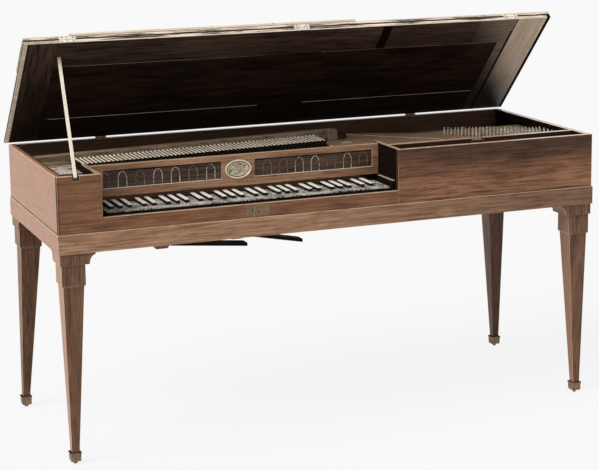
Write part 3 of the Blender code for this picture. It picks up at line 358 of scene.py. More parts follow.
def newFinish(name, group, look, grain="x"):
    # a material around one of the groups: look holds the group's inputs, and bump, shine and metal
    finish = bpy.data.materials.new(name)
    finish.use_nodes = True
    tree = finish.node_tree
    shader = tree.nodes["Principled BSDF"]
    where = addNode(tree, "ShaderNodeTexCoord").outputs["Object"]
    shift = [random.uniform(-3, 3) for axis in range(3)]
    turned = addNode(tree, "ShaderNodeMapping", {"Vector": where, "Rotation": grainTurns[grain], "Location": shift})
    pattern = addNode(tree, "ShaderNodeGroup", node_tree=group)
    tree.links.new(turned.outputs[0], pattern.inputs["Vector"])
    if "Edge" in pattern.inputs:
        wearAndHighlight = addNode(tree, "ShaderNodeAttribute", attribute_name="wearAndHighlight")
        tree.links.new(wearAndHighlight.outputs["Fac"], pattern.inputs["Edge"])
    for socket in pattern.inputs:
        if socket.name in look:
            value = look[socket.name]
            socket.default_value = (*value, 1) if isinstance(value, tuple) else value
    bump = addNode(tree, "ShaderNodeBump", {"Height": pattern.outputs["Height"], "Strength": look.get("bump", 0.2),
                                            "Distance": look.get("depth", 0.0003)})
    colour = pattern.outputs["Color"]
    # a painted ramp of light and shade across the piece
    if "fade" in look:
        along, start, till, least = look["fade"]
        fade = addNode(tree, "ShaderNodeGroup", node_tree=paintedLightRamp)
        tree.links.new(where, fade.inputs["Vector"])
        tree.links.new(colour, fade.inputs["Color"])
        fade.inputs["Along"].default_value = along
        for label, value in (("From", start), ("Till", till), ("Least", least)):
            fade.inputs[label].default_value = value
        colour = fade.outputs["Color"]
    tree.links.new(colour, shader.inputs["Base Color"])
    tree.links.new(pattern.outputs["Roughness"], shader.inputs["Roughness"])
    tree.links.new(bump.outputs["Normal"], shader.inputs["Normal"])
    shader.inputs["Specular IOR Level"].default_value = look.get("shine", 0.5)
    shader.inputs["Metallic"].default_value = look.get("metal", 0.0)
    return finish


woods = {
    "veneer": {"Dark": (0.100, 0.037, 0.016), "Light": (0.37, 0.168, 0.082), "WornAndLit": (0.56, 0.36, 0.22),
               "Contrast": 0.9, "Roughness": 0.28, "shine": 0.25},
    # lighter towards the bottom and darker at the top: painted reflection of the floor in the varnish
    "rightFront": {"Dark": (0.100, 0.037, 0.016), "Light": (0.47, 0.225, 0.12), "WornAndLit": (0.56, 0.36, 0.22),
                   "Contrast": 1.1, "Roughness": 0.28, "shine": 0.2, "fade": ((0, 0, -1), -0.76, -0.65, 0.26)},
    # lighter than the front wood: painted light on the faces turned to the left
    "end": {"Dark": (0.29, 0.120, 0.057), "Light": (0.46, 0.240, 0.132), "WornAndLit": (0.66, 0.46, 0.31),
            "Contrast": 0.6, "Roughness": 0.24, "shine": 0.35},
    "bandEnd": {"Dark": (0.20, 0.082, 0.038), "Light": (0.37, 0.188, 0.102), "WornAndLit": (0.60, 0.42, 0.28),
                "Contrast": 0.7, "Roughness": 0.26, "shine": 0.3},
    # a darker copy of end: painted shade, as less light reaches the right-hand pieces
    "farEnd": {"Dark": (0.22, 0.094, 0.045), "Light": (0.37, 0.19, 0.105), "WornAndLit": (0.66, 0.46, 0.31),
               "Contrast": 0.6, "Roughness": 0.24, "shine": 0.3},
    # light finish for top faces and front edges: painted highlight where the light falls from above
    "rim": {"Dark": (0.40, 0.24, 0.14), "Light": (0.70, 0.50, 0.33), "WornAndLit": (0.85, 0.70, 0.54),
            "Contrast": 0.8, "Roughness": 0.16, "shine": 0.6},
    # near black: painted shade on inner faces under the lid, and on the key levers under the nameboard
    "inside": {"Dark": (0.022, 0.010, 0.005), "Light": (0.065, 0.032, 0.017), "WornAndLit": (0.20, 0.12, 0.07),
               "Contrast": 0.8, "Roughness": 0.45, "shine": 0.12},
    # dark: painted shade on the back's inner face
    "backInside": {"Dark": (0.034, 0.017, 0.009), "Light": (0.105, 0.058, 0.033), "WornAndLit": (0.20, 0.12, 0.07),
                   "Contrast": 0.9, "Roughness": 0.45, "shine": 0.12},
    # near black: painted shade in gaps, notches, recesses and on shaded faces; also dark joints
    "black": {"Dark": (0.003, 0.0016, 0.001), "Light": (0.011, 0.006, 0.004), "WornAndLit": (0.04, 0.024, 0.014),
              "Contrast": 0.8, "Roughness": 0.5, "shine": 0.02},
    # lighter towards the left end, darker towards the right: painted light falling off from the lamp side
    "band": {"Dark": (0.20, 0.080, 0.036), "Light": (0.60, 0.350, 0.21), "WornAndLit": (0.74, 0.54, 0.38),
             "Contrast": 1.0, "Roughness": 0.30, "shine": 0.25, "fade": ((-1, 0, 0), -0.75, 0.30, 0.58)},
    "nameboard": {"Dark": (0.16, 0.064, 0.029), "Light": (0.50, 0.280, 0.165), "WornAndLit": (0.74, 0.54, 0.38),
                  "Contrast": 1.1, "Roughness": 0.30, "shine": 0.25},
    "leg": {"Dark": (0.070, 0.030, 0.013), "Light": (0.29, 0.150, 0.083), "WornAndLit": (0.50, 0.33, 0.21),
            "Contrast": 1.0, "Roughness": 0.28, "shine": 0.25},
    # a darker copy of leg: painted shade on the back legs' fronts
    "backLeg": {"Dark": (0.040, 0.017, 0.008), "Light": (0.20, 0.100, 0.055), "WornAndLit": (0.40, 0.26, 0.16),
                "Contrast": 1.0, "Roughness": 0.28, "shine": 0.2},
    # near black: painted shade on the lid's underside, the same wood as its top
    "lidInside": {"Dark": (0.003, 0.0016, 0.001), "Light": (0.034, 0.020, 0.013), "WornAndLit": (0.05, 0.03, 0.02),
                  "Contrast": 1.2, "Roughness": 0.3, "shine": 0.04},
    # lighter towards the lid's front edge: painted sheen on the shaded underside
    "lidFront": {"Dark": (0.010, 0.005, 0.0035), "Light": (0.115, 0.071, 0.048), "WornAndLit": (0.2, 0.14, 0.09),
                 "Contrast": 1.1, "Roughness": 0.3, "shine": 0.1, "fade": ((0, -0.70, 0.71), 0.60, 0.88, 0.25)},
    "lidGlare": {"Dark": (0.10, 0.060, 0.038), "Light": (0.34, 0.24, 0.165), "WornAndLit": (0.4, 0.3, 0.2),
                 "Contrast": 0.9, "Roughness": 0.3, "shine": 0.2, "fade": ((0.90, -0.30, 0.30), 0.84, 1.01, 0.14)},
    # the left clamp, lighter towards the front edge: painted sheen on the shaded underside
    "lidClamp": {"Dark": (0.008, 0.004, 0.003), "Light": (0.115, 0.070, 0.047), "WornAndLit": (0.2, 0.14, 0.09),
                 "Contrast": 1.1, "Roughness": 0.3, "shine": 0.1, "fade": ((0, -0.70, 0.71), 0.50, 0.85, 0.35)},
    # the right clamp: painted glare, a reflection of the floor, fading to painted shade
    "clampGlare": {"Dark": (0.50, 0.34, 0.22), "Light": (0.90, 0.72, 0.55), "WornAndLit": (0.8, 0.65, 0.5),
                  "Contrast": 0.8, "Roughness": 0.3, "shine": 0.3, "fade": ((0.80, -0.42, 0.43), 0.89, 1.06, 0.03)},
    # very light: painted highlight on the edges of the lid, flap and fall
    "lidEdge": {"Dark": (0.60, 0.44, 0.31), "Light": (0.95, 0.84, 0.70), "WornAndLit": (0.98, 0.93, 0.84),
                "Contrast": 1.0, "Roughness": 0.35},
    # black and near white: painted highlight and shade on the edges of the lid's boards
    "wavyEdge": {"Dark": (0.012, 0.008, 0.006), "Light": (0.95, 0.80, 0.62), "WornAndLit": (0.98, 0.92, 0.82),
                 "Contrast": 2.6, "Roughness": 0.35},
    # light grey: painted highlight on the left clamp's end
    "clampEnd": {"Dark": (0.26, 0.175, 0.12), "Light": (0.74, 0.60, 0.46), "WornAndLit": (0.8, 0.68, 0.54),
                 "Contrast": 1.3, "Roughness": 0.4},
    # painted highlight along the panels' edges
    "bead": {"Dark": (0.02, 0.012, 0.008), "Light": (0.34, 0.25, 0.18), "WornAndLit": (0.5, 0.4, 0.3),
             "Contrast": 1.8, "Roughness": 0.3, "shine": 0.2},
    "plain": {"Dark": (0.22, 0.14, 0.075), "Light": (0.42, 0.29, 0.17), "WornAndLit": (0.5, 0.4, 0.27),
              "Contrast": 0.8, "Roughness": 0.5, "shine": 0.3},
    "plank": {"Dark": (0.12, 0.070, 0.038), "Light": (0.33, 0.22, 0.135), "WornAndLit": (0.70, 0.54, 0.38),
              "Contrast": 1.0, "Roughness": 0.45, "shine": 0.25},
    "hitch": {"Dark": (0.05, 0.030, 0.017), "Light": (0.34, 0.235, 0.150), "WornAndLit": (0.80, 0.66, 0.50),
              "Contrast": 1.5, "Roughness": 0.45, "shine": 0.2},
    "damperRail": {"Dark": (0.10, 0.062, 0.037), "Light": (0.35, 0.252, 0.170), "WornAndLit": (0.90, 0.78, 0.62),
                   "Contrast": 1.1, "Roughness": 0.45, "shine": 0.25},
    "board": {"Dark": (0.26, 0.165, 0.085), "Light": (0.44, 0.31, 0.18), "WornAndLit": (0.5, 0.4, 0.27),
              "Contrast": 1.1, "Roughness": 0.42, "shine": 0.3},
    "lever": {"Dark": (0.52, 0.40, 0.28), "Light": (0.92, 0.81, 0.65), "WornAndLit": (0.86, 0.76, 0.62),
              "Contrast": 0.8, "Roughness": 0.45, "shine": 0.3},
    "knee": {"Dark": (0.003, 0.0016, 0.001), "Light": (0.018, 0.009, 0.005), "WornAndLit": (0.10, 0.06, 0.038),
             "Contrast": 1.0, "Roughness": 0.4, "shine": 0.05},
    "panel": {"Dark": (0.022, 0.012, 0.008), "Light": (0.13, 0.078, 0.050), "WornAndLit": (0.2, 0.14, 0.1),
              "Contrast": 1.1, "Roughness": 0.25, "shine": 0.15},
    "limewood": {"Dark": (0.30, 0.20, 0.115), "Light": (0.50, 0.37, 0.23), "WornAndLit": (0.5, 0.4, 0.3),
                 "Contrast": 0.7, "Roughness": 0.5, "shine": 0.3},
    "prop": {"Dark": (0.66, 0.56, 0.42), "Light": (0.86, 0.79, 0.66), "WornAndLit": (0.90, 0.85, 0.74),
             "Contrast": 0.8, "Roughness": 0.5},
}
speckles = {
    # light flecks: painted glints on the ebony naturals, with some real rubbing
    "ebony": {"Dark": (0.010, 0.009, 0.008), "Light": (0.74, 0.69, 0.61), "Size": 0.0052, "Amount": 2.2,
              "Roughness": 0.22, "bump": 0.25},
    # near black: black stain on the sharps' sides, painted shade on the key fronts under the covers
    "blackStainAndShade": {"Dark": (0.003, 0.0025, 0.002), "Light": (0.010, 0.009, 0.008), "Size": 0.0016, "Amount": 1.0,
                   "Roughness": 0.4, "shine": 0.1},
    "bone": {"Dark": (0.82, 0.76, 0.64), "Light": (0.95, 0.92, 0.85), "Size": 0.0022, "Amount": 0.8,
             "Roughness": 0.26},
    "inlay": {"Dark": (0.05, 0.034, 0.024), "Light": (0.74, 0.66, 0.52), "Size": 0.0035, "Amount": 1.7,
              "Roughness": 0.35},
    "fadedInlay": {"Dark": (0.016, 0.010, 0.007), "Light": (0.26, 0.20, 0.14), "Size": 0.0040, "Amount": 2.2,
                   "Roughness": 0.35},
    "cloth": {"Dark": (0.006, 0.004, 0.003), "Light": (0.72, 0.62, 0.49), "Size": 0.0060, "Amount": 2.4,
              "Roughness": 0.75, "bump": 0.5},
    "leather": {"Dark": (0.74, 0.67, 0.55), "Light": (0.90, 0.86, 0.77), "Size": 0.0012, "Amount": 0.9,
                "Roughness": 0.6, "bump": 0.4},
    # dark damper cloth, and painted shade on the damper levers' sides
    "darkClothAndShade": {"Dark": (0.003, 0.003, 0.003), "Light": (0.014, 0.012, 0.011), "Size": 0.0010, "Amount": 1.0,
                  "Roughness": 0.8, "bump": 0.5, "shine": 0.1},
}
metals = {
    "rubbedBrass": {"Bright": (0.92, 0.84, 0.66), "Tarnish": (0.70, 0.58, 0.38), "Roughness": 0.30, "metal": 0.3},
    "brass": {"Bright": (0.80, 0.66, 0.40), "Tarnish": (0.42, 0.31, 0.16), "Roughness": 0.30, "metal": 0.6},
    "oldBrass": {"Bright": (0.80, 0.70, 0.50), "Tarnish": (0.11, 0.075, 0.040), "Roughness": 0.42, "metal": 0.3},
    "dullBrass": {"Bright": (0.27, 0.185, 0.10), "Tarnish": (0.17, 0.110, 0.060), "Roughness": 0.42, "metal": 0.5},
    "hinge": {"Bright": (0.96, 0.92, 0.82), "Tarnish": (0.60, 0.52, 0.40), "Roughness": 0.42, "metal": 0.2},
    "iron": {"Bright": (0.70, 0.67, 0.62), "Tarnish": (0.24, 0.21, 0.18), "Roughness": 0.35, "metal": 0.6},
    # dark iron, and painted shade in the keyholes and screw slots
    "darkIronAndShade": {"Bright": (0.09, 0.08, 0.07), "Tarnish": (0.015, 0.013, 0.012), "Roughness": 0.5, "metal": 0.3},
}

made = {}


def wood(kind, grain="x"):
    key = kind + grain.title() + "Wood"
    if key not in made:
        made[key] = newFinish(key, agedWood, woods[kind], grain)
    return made[key]


def speckle(kind):
    if kind not in made:
        made[kind] = newFinish(kind, speckled, speckles[kind])
    return made[kind]


def metal(kind):
    if kind not in made:
        made[kind] = newFinish(kind, agedMetal, metals[kind])
    return made[kind]


def finishNode(node, finish):
    # a CAD node that stays as it is, with a better finish
    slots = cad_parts[node].material_slots
    for slotHere in slots:
        slotHere.material = finish


print("finishes ready")


# ---- case

def makeWalls():
    walls = {"round": 0.0015, "level": 0.7, "jointFrom": 0.0024, "jointTill": 0.0040, "shadowTop": caseBottom + 0.0020}

    def inJoint(middle, normal):
        return walls["jointFrom"] < middle.x < walls["jointTill"] and normal.z < 0.7

    def inNotch(middle, normal):
        # the cut that lets the folded prop stick out, painted near black as its shade
        return 0.0430 < middle.x < 0.0620 and -0.0130 < middle.z < -0.0016 and normal.y > -0.9

    # outer faces keep their wood, tops get the light rim finish as painted highlight, and the other faces a dark finish
    # as painted shade
    def outside(axis, sign, top=1):
        index = "xyz".index(axis)

        def choose(middle, normal):
            if normal.z > walls["level"]:
                return top
            return 0 if normal[index] * sign > 0.4 else 2
        return choose

    left = takeNode("left_side", "left_end_board")
    cutAt(left, "x", 0.0125)
    cutAt(left, "z", walls["shadowTop"])
    roundEdges(left, walls["round"], only=awayFrom(y=(0.0143,), z=(caseBottom,)))
    # the rabbet along the top's inner edge and the lowest strip are near black as painted shade
    paintFaces(left, [wood("end", "y"), wood("rim", "y"), wood("inside", "y"), wood("black", "y")],
               lambda middle, normal: (3 if 0.0125 < middle.x < 0.0160 else 0) if normal.z > walls["level"]
               else (3 if middle.z < walls["shadowTop"] else outside("x", -1)(middle, normal)))
    right = takeNode("right_side", "right_end_board")
    roundEdges(right, walls["round"], only=awayFrom(y=(0.0143,), z=(caseBottom,)))
    paintFaces(right, [wood("end", "y"), wood("rim", "y"), wood("black", "y")], outside("x", 1))
    back = takeNode("back_wall", "back_board")
    roundEdges(back, walls["round"], only=awayFrom(x=(0.0183, caseWidth - 0.0183), z=(caseBottom,)))
    paintFaces(back, [wood("veneer"), wood("rim"), wood("backInside")], outside("y", 1))
    for node, name, kind in (("left_front_panel", "left_front_board", "veneer"),
                             ("right_front_panel", "right_front_board", "rightFront")):
        front = takeNode(node, name)
        for x in (walls["jointFrom"], walls["jointTill"]):
            cutAt(front, "x", x)
        roundEdges(front, walls["round"], only=awayFrom(y=(0.014,), z=(caseBottom,)))
        paintFaces(front, [wood(kind), wood("rim"), wood("inside"), wood("black", "z")],
                   lambda middle, normal: 3 if inJoint(middle, normal) or inNotch(middle, normal)
                   else outside("y", -1)(middle, normal))
    finishNode("bottom_board", wood("plain"))
    print("case walls done")


def makeCheeks():
    keyBlockTop = -0.093
    for side in ("left", "right"):
        cheek = takeNode(side + "_cheek", side + "_cheek_board")
        roundEdges(cheek, 0.0008, only=lambda a, b: max(a.z, b.z) > -0.12 and max(a.y, b.y) < 0.2)
        # near black as painted shade in the keywell, with tops in the rim finish as painted highlight
        paintFaces(cheek, [wood("black", "y"), wood("rim", "y")],
                   lambda middle, normal: 1 if normal.z > 0.7 and middle.z > keyBlockTop - 0.002 else 0)
    print("cheeks done")


def addScrew(name, centre, axis, radius=0.0019, height=0.0005):
    # a slotted screw head: axis is where it faces, such as -y
    along = axis[-1]
    sign = -1 if axis[0] == "-" else 1
    index = "xyz".index(along)
    head = addRound(name, centre, radius, height, along, 14)
    mesh = startEdit(head)
    for face in mesh.faces:
        face.select = face.normal[index] * sign > 0.9
    bmesh.update_edit_mesh(head.data)
    bpy.ops.mesh.inset(thickness=radius * 0.25, depth=height * 0.35)
    endEdit()
    slot = Vector((radius * 0.22,) * 3)
    slot[index] = height * 0.6
    slot[(index + 1) % 3] = radius * 1.5
    middle = Vector(centre)
    middle[index] += sign * height * 0.62
    low, high = middle - slot / 2, middle + slot / 2
    line = addBlock(name + "_slot", (low.x, high.x), (low.y, high.y), (low.z, high.z))
    return head, line


def makeKeySlip():
    slip = {"round": 0.0009, "lockX": 0.564, "lockLow": -0.153, "lockHigh": -0.122, "screwIn": 0.0050,
            "holes": (((-0.0184, -0.0146), (0.0101, 0.0209)), ((0.0006, 0.0064), (0.0081, 0.0139)))}
    board = takeNode("key_slip", "key_slip_board")
    roundEdges(board, slip["round"], only=lambda a, b: min(a.z, b.z) > -0.1187)
    # its top gets the light rim finish as painted highlight
    paintFaces(board, [wood("veneer"), wood("rim")], lambda middle, normal: 1 if normal.z > 0.7 and middle.z > -0.12 else 0)
    plate = takeNode("lock_plate", "lock_cover")
    roundEdges(plate, 0.0003, only=lambda a, b: max(a.y, b.y) < 0.0004)
    paint(plate, metal("dullBrass"))
    heads, lines = [], []
    for x in (slip["lockX"] - 0.035 + slip["screwIn"], slip["lockX"] + 0.035 - slip["screwIn"]):
        for z in (slip["lockLow"] + slip["screwIn"], slip["lockHigh"] - slip["screwIn"]):
            head, line = addScrew("screw", (x, 0.0004, z), "-y", 0.0017, 0.0006)
            heads.append(head)
            lines.append(line)
    settle(paint(joinAs("lock_screws", heads), metal("dullBrass")))
    # the slots are dark bars: painted shade in the slots
    settle(paint(joinAs("lock_screw_slots", lines), metal("darkIronAndShade")))
    # the keyholes are dark blocks: painted shade in the holes
    holes = [addBlock("hole", (slip["lockX"] + x[0], slip["lockX"] + x[1]), (0.0008, 0.0014),
                      (slip["lockLow"] + z[0], slip["lockLow"] + z[1])) for x, z in slip["holes"]]
    settle(paint(joinAs("lock_holes", holes), metal("darkIronAndShade")))
    print("key slip done")


# ---- nameboard, with its arches and the bare oval plate

def makeNameboard():
    board = takeNode("nameboard", "nameboard_face")
    shadow = -0.0222
    cutAt(board, "z", shadow)
    roundEdges(board, 0.0005, only=lambda a, b: max(a.y, b.y) < 0.1430)

    def choose(middle, normal):
        if 0.1415 < middle.y < 0.1435 and normal.y < -0.7 and middle.z < -0.018:
            return 3 if middle.z > shadow else 1
        return 2 if normal.z > 0.7 else 0
    paintFaces(board, [wood("nameboard"), wood("panel"), wood("rim"), wood("black")], choose)
    ledge = {"top": -0.0680, "low": -0.0697, "front": 0.1384, "back": 0.1404, "spans": ((0.1500, 0.5090), (0.6050, 0.9720))}
    strips = [addBlock("strip", span, (ledge["front"], ledge["back"]), (ledge["low"], ledge["top"]))
              for span in ledge["spans"]]
    strips.append(addBlock("strip", (0.1500, 0.1518), (ledge["front"], ledge["back"]), (-0.0905, ledge["low"])))
    for strip in strips:
        roundEdges(strip, 0.0004)
    settle(paint(joinAs("panel_ledges", strips), wood("lidEdge")))
    print("nameboard done")


def makeArches():
    arch = {"width": 0.027, "top": -0.0235, "shoulder": -0.043, "foot": -0.0685, "line": 0.0022,
            "back": 0.1425, "proud": 0.0004,
            "left": (0.168, 0.219, 0.270, 0.321, 0.372, 0.424, 0.476),
            "right": (0.646, 0.695, 0.744, 0.793, 0.843, 0.894, 0.944),
            "clear": {"left": (1, 3, 4, 6), "right": (2, 3, 5)}}          # the others are nearly worn away
    half = arch["width"] / 2
    rise = arch["top"] - arch["shoulder"]
    shoulder = at(0, arch["back"], arch["shoulder"])
    bpy.ops.object.select_all(action="DESELECT")
    bpy.ops.mesh.primitive_circle_add(vertices=28, radius=half, fill_type="NOTHING", location=shoulder,
                                      rotation=(math.pi / 2, 0, 0))
    first = bpy.context.active_object
    bpy.ops.object.transform_apply(location=True, rotation=True, scale=True)
    mesh = startEdit(first, "VERT")
    for vertex in mesh.verts:
        vertex.select = vertex.co.z < shoulder.z - 0.0005
    mesh.select_flush_mode()
    bmesh.update_edit_mesh(first.data)
    bpy.ops.mesh.delete(type="VERT")
    mesh = bmesh.from_edit_mesh(first.data)
    for vertex in mesh.verts:                     # pointed a little, and taller than wide
        lift = (vertex.co.z - shoulder.z) / half
        vertex.co.z = shoulder.z + rise * lift ** 0.9 if lift > 0 else shoulder.z
        vertex.co.x = shoulder.x + (vertex.co.x - shoulder.x) * (1 - 0.16 * max(lift, 0))
        vertex.select = lift < 0.02
    mesh.select_flush_mode()
    bmesh.update_edit_mesh(first.data)
    bpy.ops.mesh.extrude_vertices_move(TRANSFORM_OT_translate={"value": (0, 0, arch["foot"] - arch["shoulder"])})
    bpy.ops.mesh.select_all(action="SELECT")
    narrow = 1 - 2 * arch["line"] / arch["width"]
    bpy.ops.mesh.extrude_edges_move(TRANSFORM_OT_translate={"value": (0, 0, 0)})
    bpy.ops.transform.resize(value=(narrow, 1, 1), center_override=shoulder)
    mesh = bmesh.from_edit_mesh(first.data)
    for vertex in mesh.verts:
        if vertex.select and vertex.co.z > shoulder.z:
            vertex.co.z -= arch["line"] * 0.8 * (vertex.co.z - shoulder.z) / rise
    bmesh.update_edit_mesh(first.data)
    bpy.ops.mesh.select_all(action="SELECT")
    bpy.ops.mesh.normals_make_consistent(inside=False)
    endEdit()
    thick = first.modifiers.new("thick", "SOLIDIFY")
    thick.thickness = arch["proud"] * 2
    thick.offset = 0
    pickOnly(first)
    bpy.ops.object.modifier_apply(modifier="thick")
    for side in ("left", "right"):
        for name, kind, wanted in (("_arches", "inlay", arch["clear"][side]), ("_faded_arches", "fadedInlay", None)):
            places = [x for i, x in enumerate(arch[side]) if (i in arch["clear"][side]) == (wanted is not None)]
            copies = [copyOf(first, "arch", Vector((x, 0, 0))) for x in places]
            settle(paint(joinAs(side + name, copies), speckle(kind)))
    bpy.data.objects.remove(first)
    print("arches done")


def makePlaque():
    plaque = {"x": 0.557, "z": -0.044, "width": 0.078, "height": 0.054, "front": 0.1377, "back": 0.1397,
              "rim": 0.0042, "sink": 0.0010}
    middle = (plaque["x"], (plaque["front"] + plaque["back"]) / 2, plaque["z"])
    oval = addRound("bare_oval_plate", middle, 0.5, plaque["back"] - plaque["front"], "y", 56)
    centre = at(*middle)
    size = Matrix.Translation(centre) @ Matrix.Diagonal((plaque["width"], 1, plaque["height"], 1)) @ Matrix.Translation(-centre)
    moveBy(oval, size)

    def pickFront():
        mesh = startEdit(oval)
        faces = [face for face in mesh.faces if face.normal.y < -0.9]
        max(faces, key=lambda face: len(face.verts)).select = True
        bmesh.update_edit_mesh(oval.data)

    pickFront()
    bpy.ops.mesh.inset(thickness=0.0008, depth=0)
    bpy.ops.mesh.inset(thickness=plaque["rim"] - 0.0014, depth=0)
    bpy.ops.mesh.inset(thickness=0.0007, depth=0)
    bpy.ops.transform.translate(value=(0, plaque["sink"], 0))
    bpy.ops.mesh.inset(thickness=0.0030, depth=0)
    bpy.ops.mesh.inset(thickness=0.0005, depth=0)
    bpy.ops.transform.translate(value=(0, -0.0004, 0))
    bpy.ops.mesh.inset(thickness=0.0005, depth=0)
    bpy.ops.transform.translate(value=(0, 0.0004, 0))
    endEdit()
    roundEdges(oval, 0.0004, sharp=60)
    pickOnly(oval)
    bpy.ops.object.shade_smooth_by_angle(angle=math.radians(35))
    field = plaque["front"] + plaque["sink"] - 0.0002

    def choose(place, normal):
        if place.y < field or normal.y > -0.9:
            return 0
        return 1 if abs(place.x - plaque["x"]) + abs(place.z - plaque["z"]) < 0.01 else 2
    paintFaces(oval, [metal("rubbedBrass"), metal("oldBrass"), metal("darkIronAndShade")], choose)
    settle(oval)
    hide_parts("name_plaque")
    print("plate done")


# ---- keyboard

def makeKeys():
    keys = {"round": 0.0006, "thick": 0.0030, "capCover": 0.0024, "naturalTop": -0.112, "sharpTop": -0.1015,
            "front": 0.036, "cover": 0.152, "shadedTill": 0.240}
    lowCover = keys["naturalTop"] - keys["thick"]
    boneLow = keys["sharpTop"] - keys["capCover"]

    # the sharps' sides are black stain; the key fronts under the covers are near black as painted shade, and the levers
    # just behind the covers, under the nameboard, are dark as painted shade
    def choose(middle, normal):
        if middle.z > keys["naturalTop"] + 0.0003:
            return 1 if middle.z > boneLow else 2
        if middle.z > lowCover and middle.y < keys["cover"]:
            return 0
        if middle.y < keys["front"]:
            return 2
        return 4 if middle.y < keys["shadedTill"] else 3

    notes = ["c", "c_sharp", "d", "d_sharp", "e", "f", "f_sharp", "g", "g_sharp", "a", "a_sharp", "b"]
    bodies = ["key_" + note for note in notes] + ["keys_bass", "keys_treble"]
    for body in bodies:
        groupOf = body.startswith("keys_")
        key = takeNode(body, body + ("_set" if groupOf else "_lever"), body)
        cutAt(key, "z", lowCover)
        cutAt(key, "z", boneLow)
        cutAt(key, "y", keys["cover"])
        cutAt(key, "y", keys["shadedTill"])
        roundEdges(key, keys["round"], sharp=50,
                   only=lambda a, b: max(a.y, b.y) < 0.151 and min(a.z, b.z) > lowCover - 0.001)
        paintFaces(key, [speckle("ebony"), speckle("bone"), speckle("blackStainAndShade"), wood("limewood", "y"),
                         wood("inside", "y")], choose)
    finishNode("key_frame", wood("plain"))
    print("keys done")


# ---- hammers, dampers and the planks inside

def damperRailFront(x):
    return 0.335 + (x - 0.018) / (0.958 - 0.018) * 0.100


def makeDampers():
    comb = {"count": 61, "first": 0.1400, "last": 0.9006, "width": 0.0068, "top": -0.014, "thick": 0.006,
            "frontFirst": 0.246, "frontLast": 0.324, "headDepth": 0.008, "headDrop": 0.018, "tip": 0.0065}
    rail = takeNode("damper_rail", "damper_rail_wood_bar")
    roundEdges(rail, 0.0012)
    paint(rail, wood("damperRail"))
    finishNode("hammer_rail", wood("plain"))
    # one lever with its front edge at y 0 and its back at y 1 is made first, then each copy is drawn out to its length
    bar = addBlock("bar", (-comb["width"] / 2, comb["width"] / 2), (0, 1), (comb["top"] - comb["thick"], comb["top"]))
    roundEdges(bar, 0.0012, only=lambda a, b: abs(a.y - b.y) > 0.5 and a.z > comb["top"] - 0.001)
    half = comb["width"] / 2
    tip = addBlock("tip", (-half + 0.0008, half - 0.0008), (-comb["tip"], 0), (comb["top"] - 0.0005, comb["top"] + 0.0016))
    roundEdges(tip, 0.0006)
    headLow = comb["top"] - comb["thick"] - comb["headDrop"]
    head = addBlock("head", (-half + 0.0006, half - 0.0006), (0.0003, comb["headDepth"]), (headLow, comb["top"] - comb["thick"]))
    roundEdges(head, 0.0008)
    bars, tips, heads = [], [], []
    for i in range(comb["count"]):
        share = i / (comb["count"] - 1)
        x = comb["first"] + share * (comb["last"] - comb["first"])
        front = comb["frontFirst"] + share * (comb["frontLast"] - comb["frontFirst"])
        back = damperRailFront(x) - 0.005
        copy = copyOf(bar, "bar", Vector((0, 0, 0)))
        wobble = random.uniform(-0.0003, 0.0003)
        for vertex in copy.data.vertices:
            along = vertex.co.y - caseCorner.y
            vertex.co.y = caseCorner.y + front + along * (back - front)
            vertex.co.x += x + wobble * (1 - along)
        bars.append(copy)
        tips.append(copyOf(tip, "tip", Vector((x, back, 0))))
        heads.append(copyOf(head, "head", Vector((x, front, 0))))
    for pattern in (bar, tip, head):
        bpy.data.objects.remove(pattern)
    levers = joinAs("damper_lever_bars", bars)
    # the levers' sides and undersides get the dark cloth finish as painted shade
    paintFaces(levers, [wood("lever", "y"), speckle("darkClothAndShade")], lambda middle, normal: 0 if normal.z > 0.3 else 1)
    settle(levers, "dampers")
    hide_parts("damper_levers")
    settle(paint(joinAs("damper_lever_hinges", tips), speckle("leather")), "dampers")
    settle(paint(joinAs("damper_cloths", heads), speckle("darkClothAndShade")), "dampers")
    print("dampers done")


def makePlanks():
    inner = takeNode("inner_rail", "inner_front_rail")
    roundEdges(inner, 0.0009, only=lambda a, b: min(a.z, b.z) > -0.02)
    # its sides get the dark inside finish as painted shade, its top the rim finish as painted highlight
    paintFaces(inner, [wood("inside"), wood("rim")], lambda middle, normal: 1 if normal.z > 0.7 and middle.z > -0.002 else 0)
    for node, name in (("treble_plank", "treble_plank_board"), ("wrest_plank", "wrest_plank_board")):
        plank = takeNode(node, name)
        roundEdges(plank, 0.0009, only=lambda a, b: min(a.z, b.z) > -0.0305)
        paint(plank, wood("plank"))
    hitch = takeNode("hitch_plank", "hitch_plank_board")
    roundEdges(hitch, 0.0010, only=lambda a, b: min(a.z, b.z) > -0.0205)
    # its front edge gets the light rim finish as painted highlight
    paintFaces(hitch, [wood("hitch"), speckle("cloth"), wood("rim")],
               lambda middle, normal: 2 if middle.y < 0.1512 and middle.z > -0.0225 else
               (1 if normal.z > 0.7 and middle.y < 0.25 and middle.z > -0.03 else 0))
    finishNode("belly_rail", wood("plain"))
    finishNode("soundboard", wood("board"))
    buttons = []
    for x in (0.064, 0.072):
        buttons += addScrew("button", (x, 0.262, -0.0157), "z", 0.0032, 0.0014)
    settle(paint(joinAs("hitch_plank_screws", buttons), metal("darkIronAndShade")))
    bracket = addBlock("small_bracket", (0.962, 0.994), (0.342, 0.354), (-0.030, -0.0285))
    roundEdges(bracket, 0.0005)
    settle(paint(bracket, metal("iron")))
    screws = []
    for x in (0.968, 0.988):
        screws += addScrew("screw", (x, 0.348, -0.0282), "z", 0.0026, 0.0012)
    settle(paint(joinAs("small_bracket_screws", screws), metal("darkIronAndShade")))
    print("planks done")


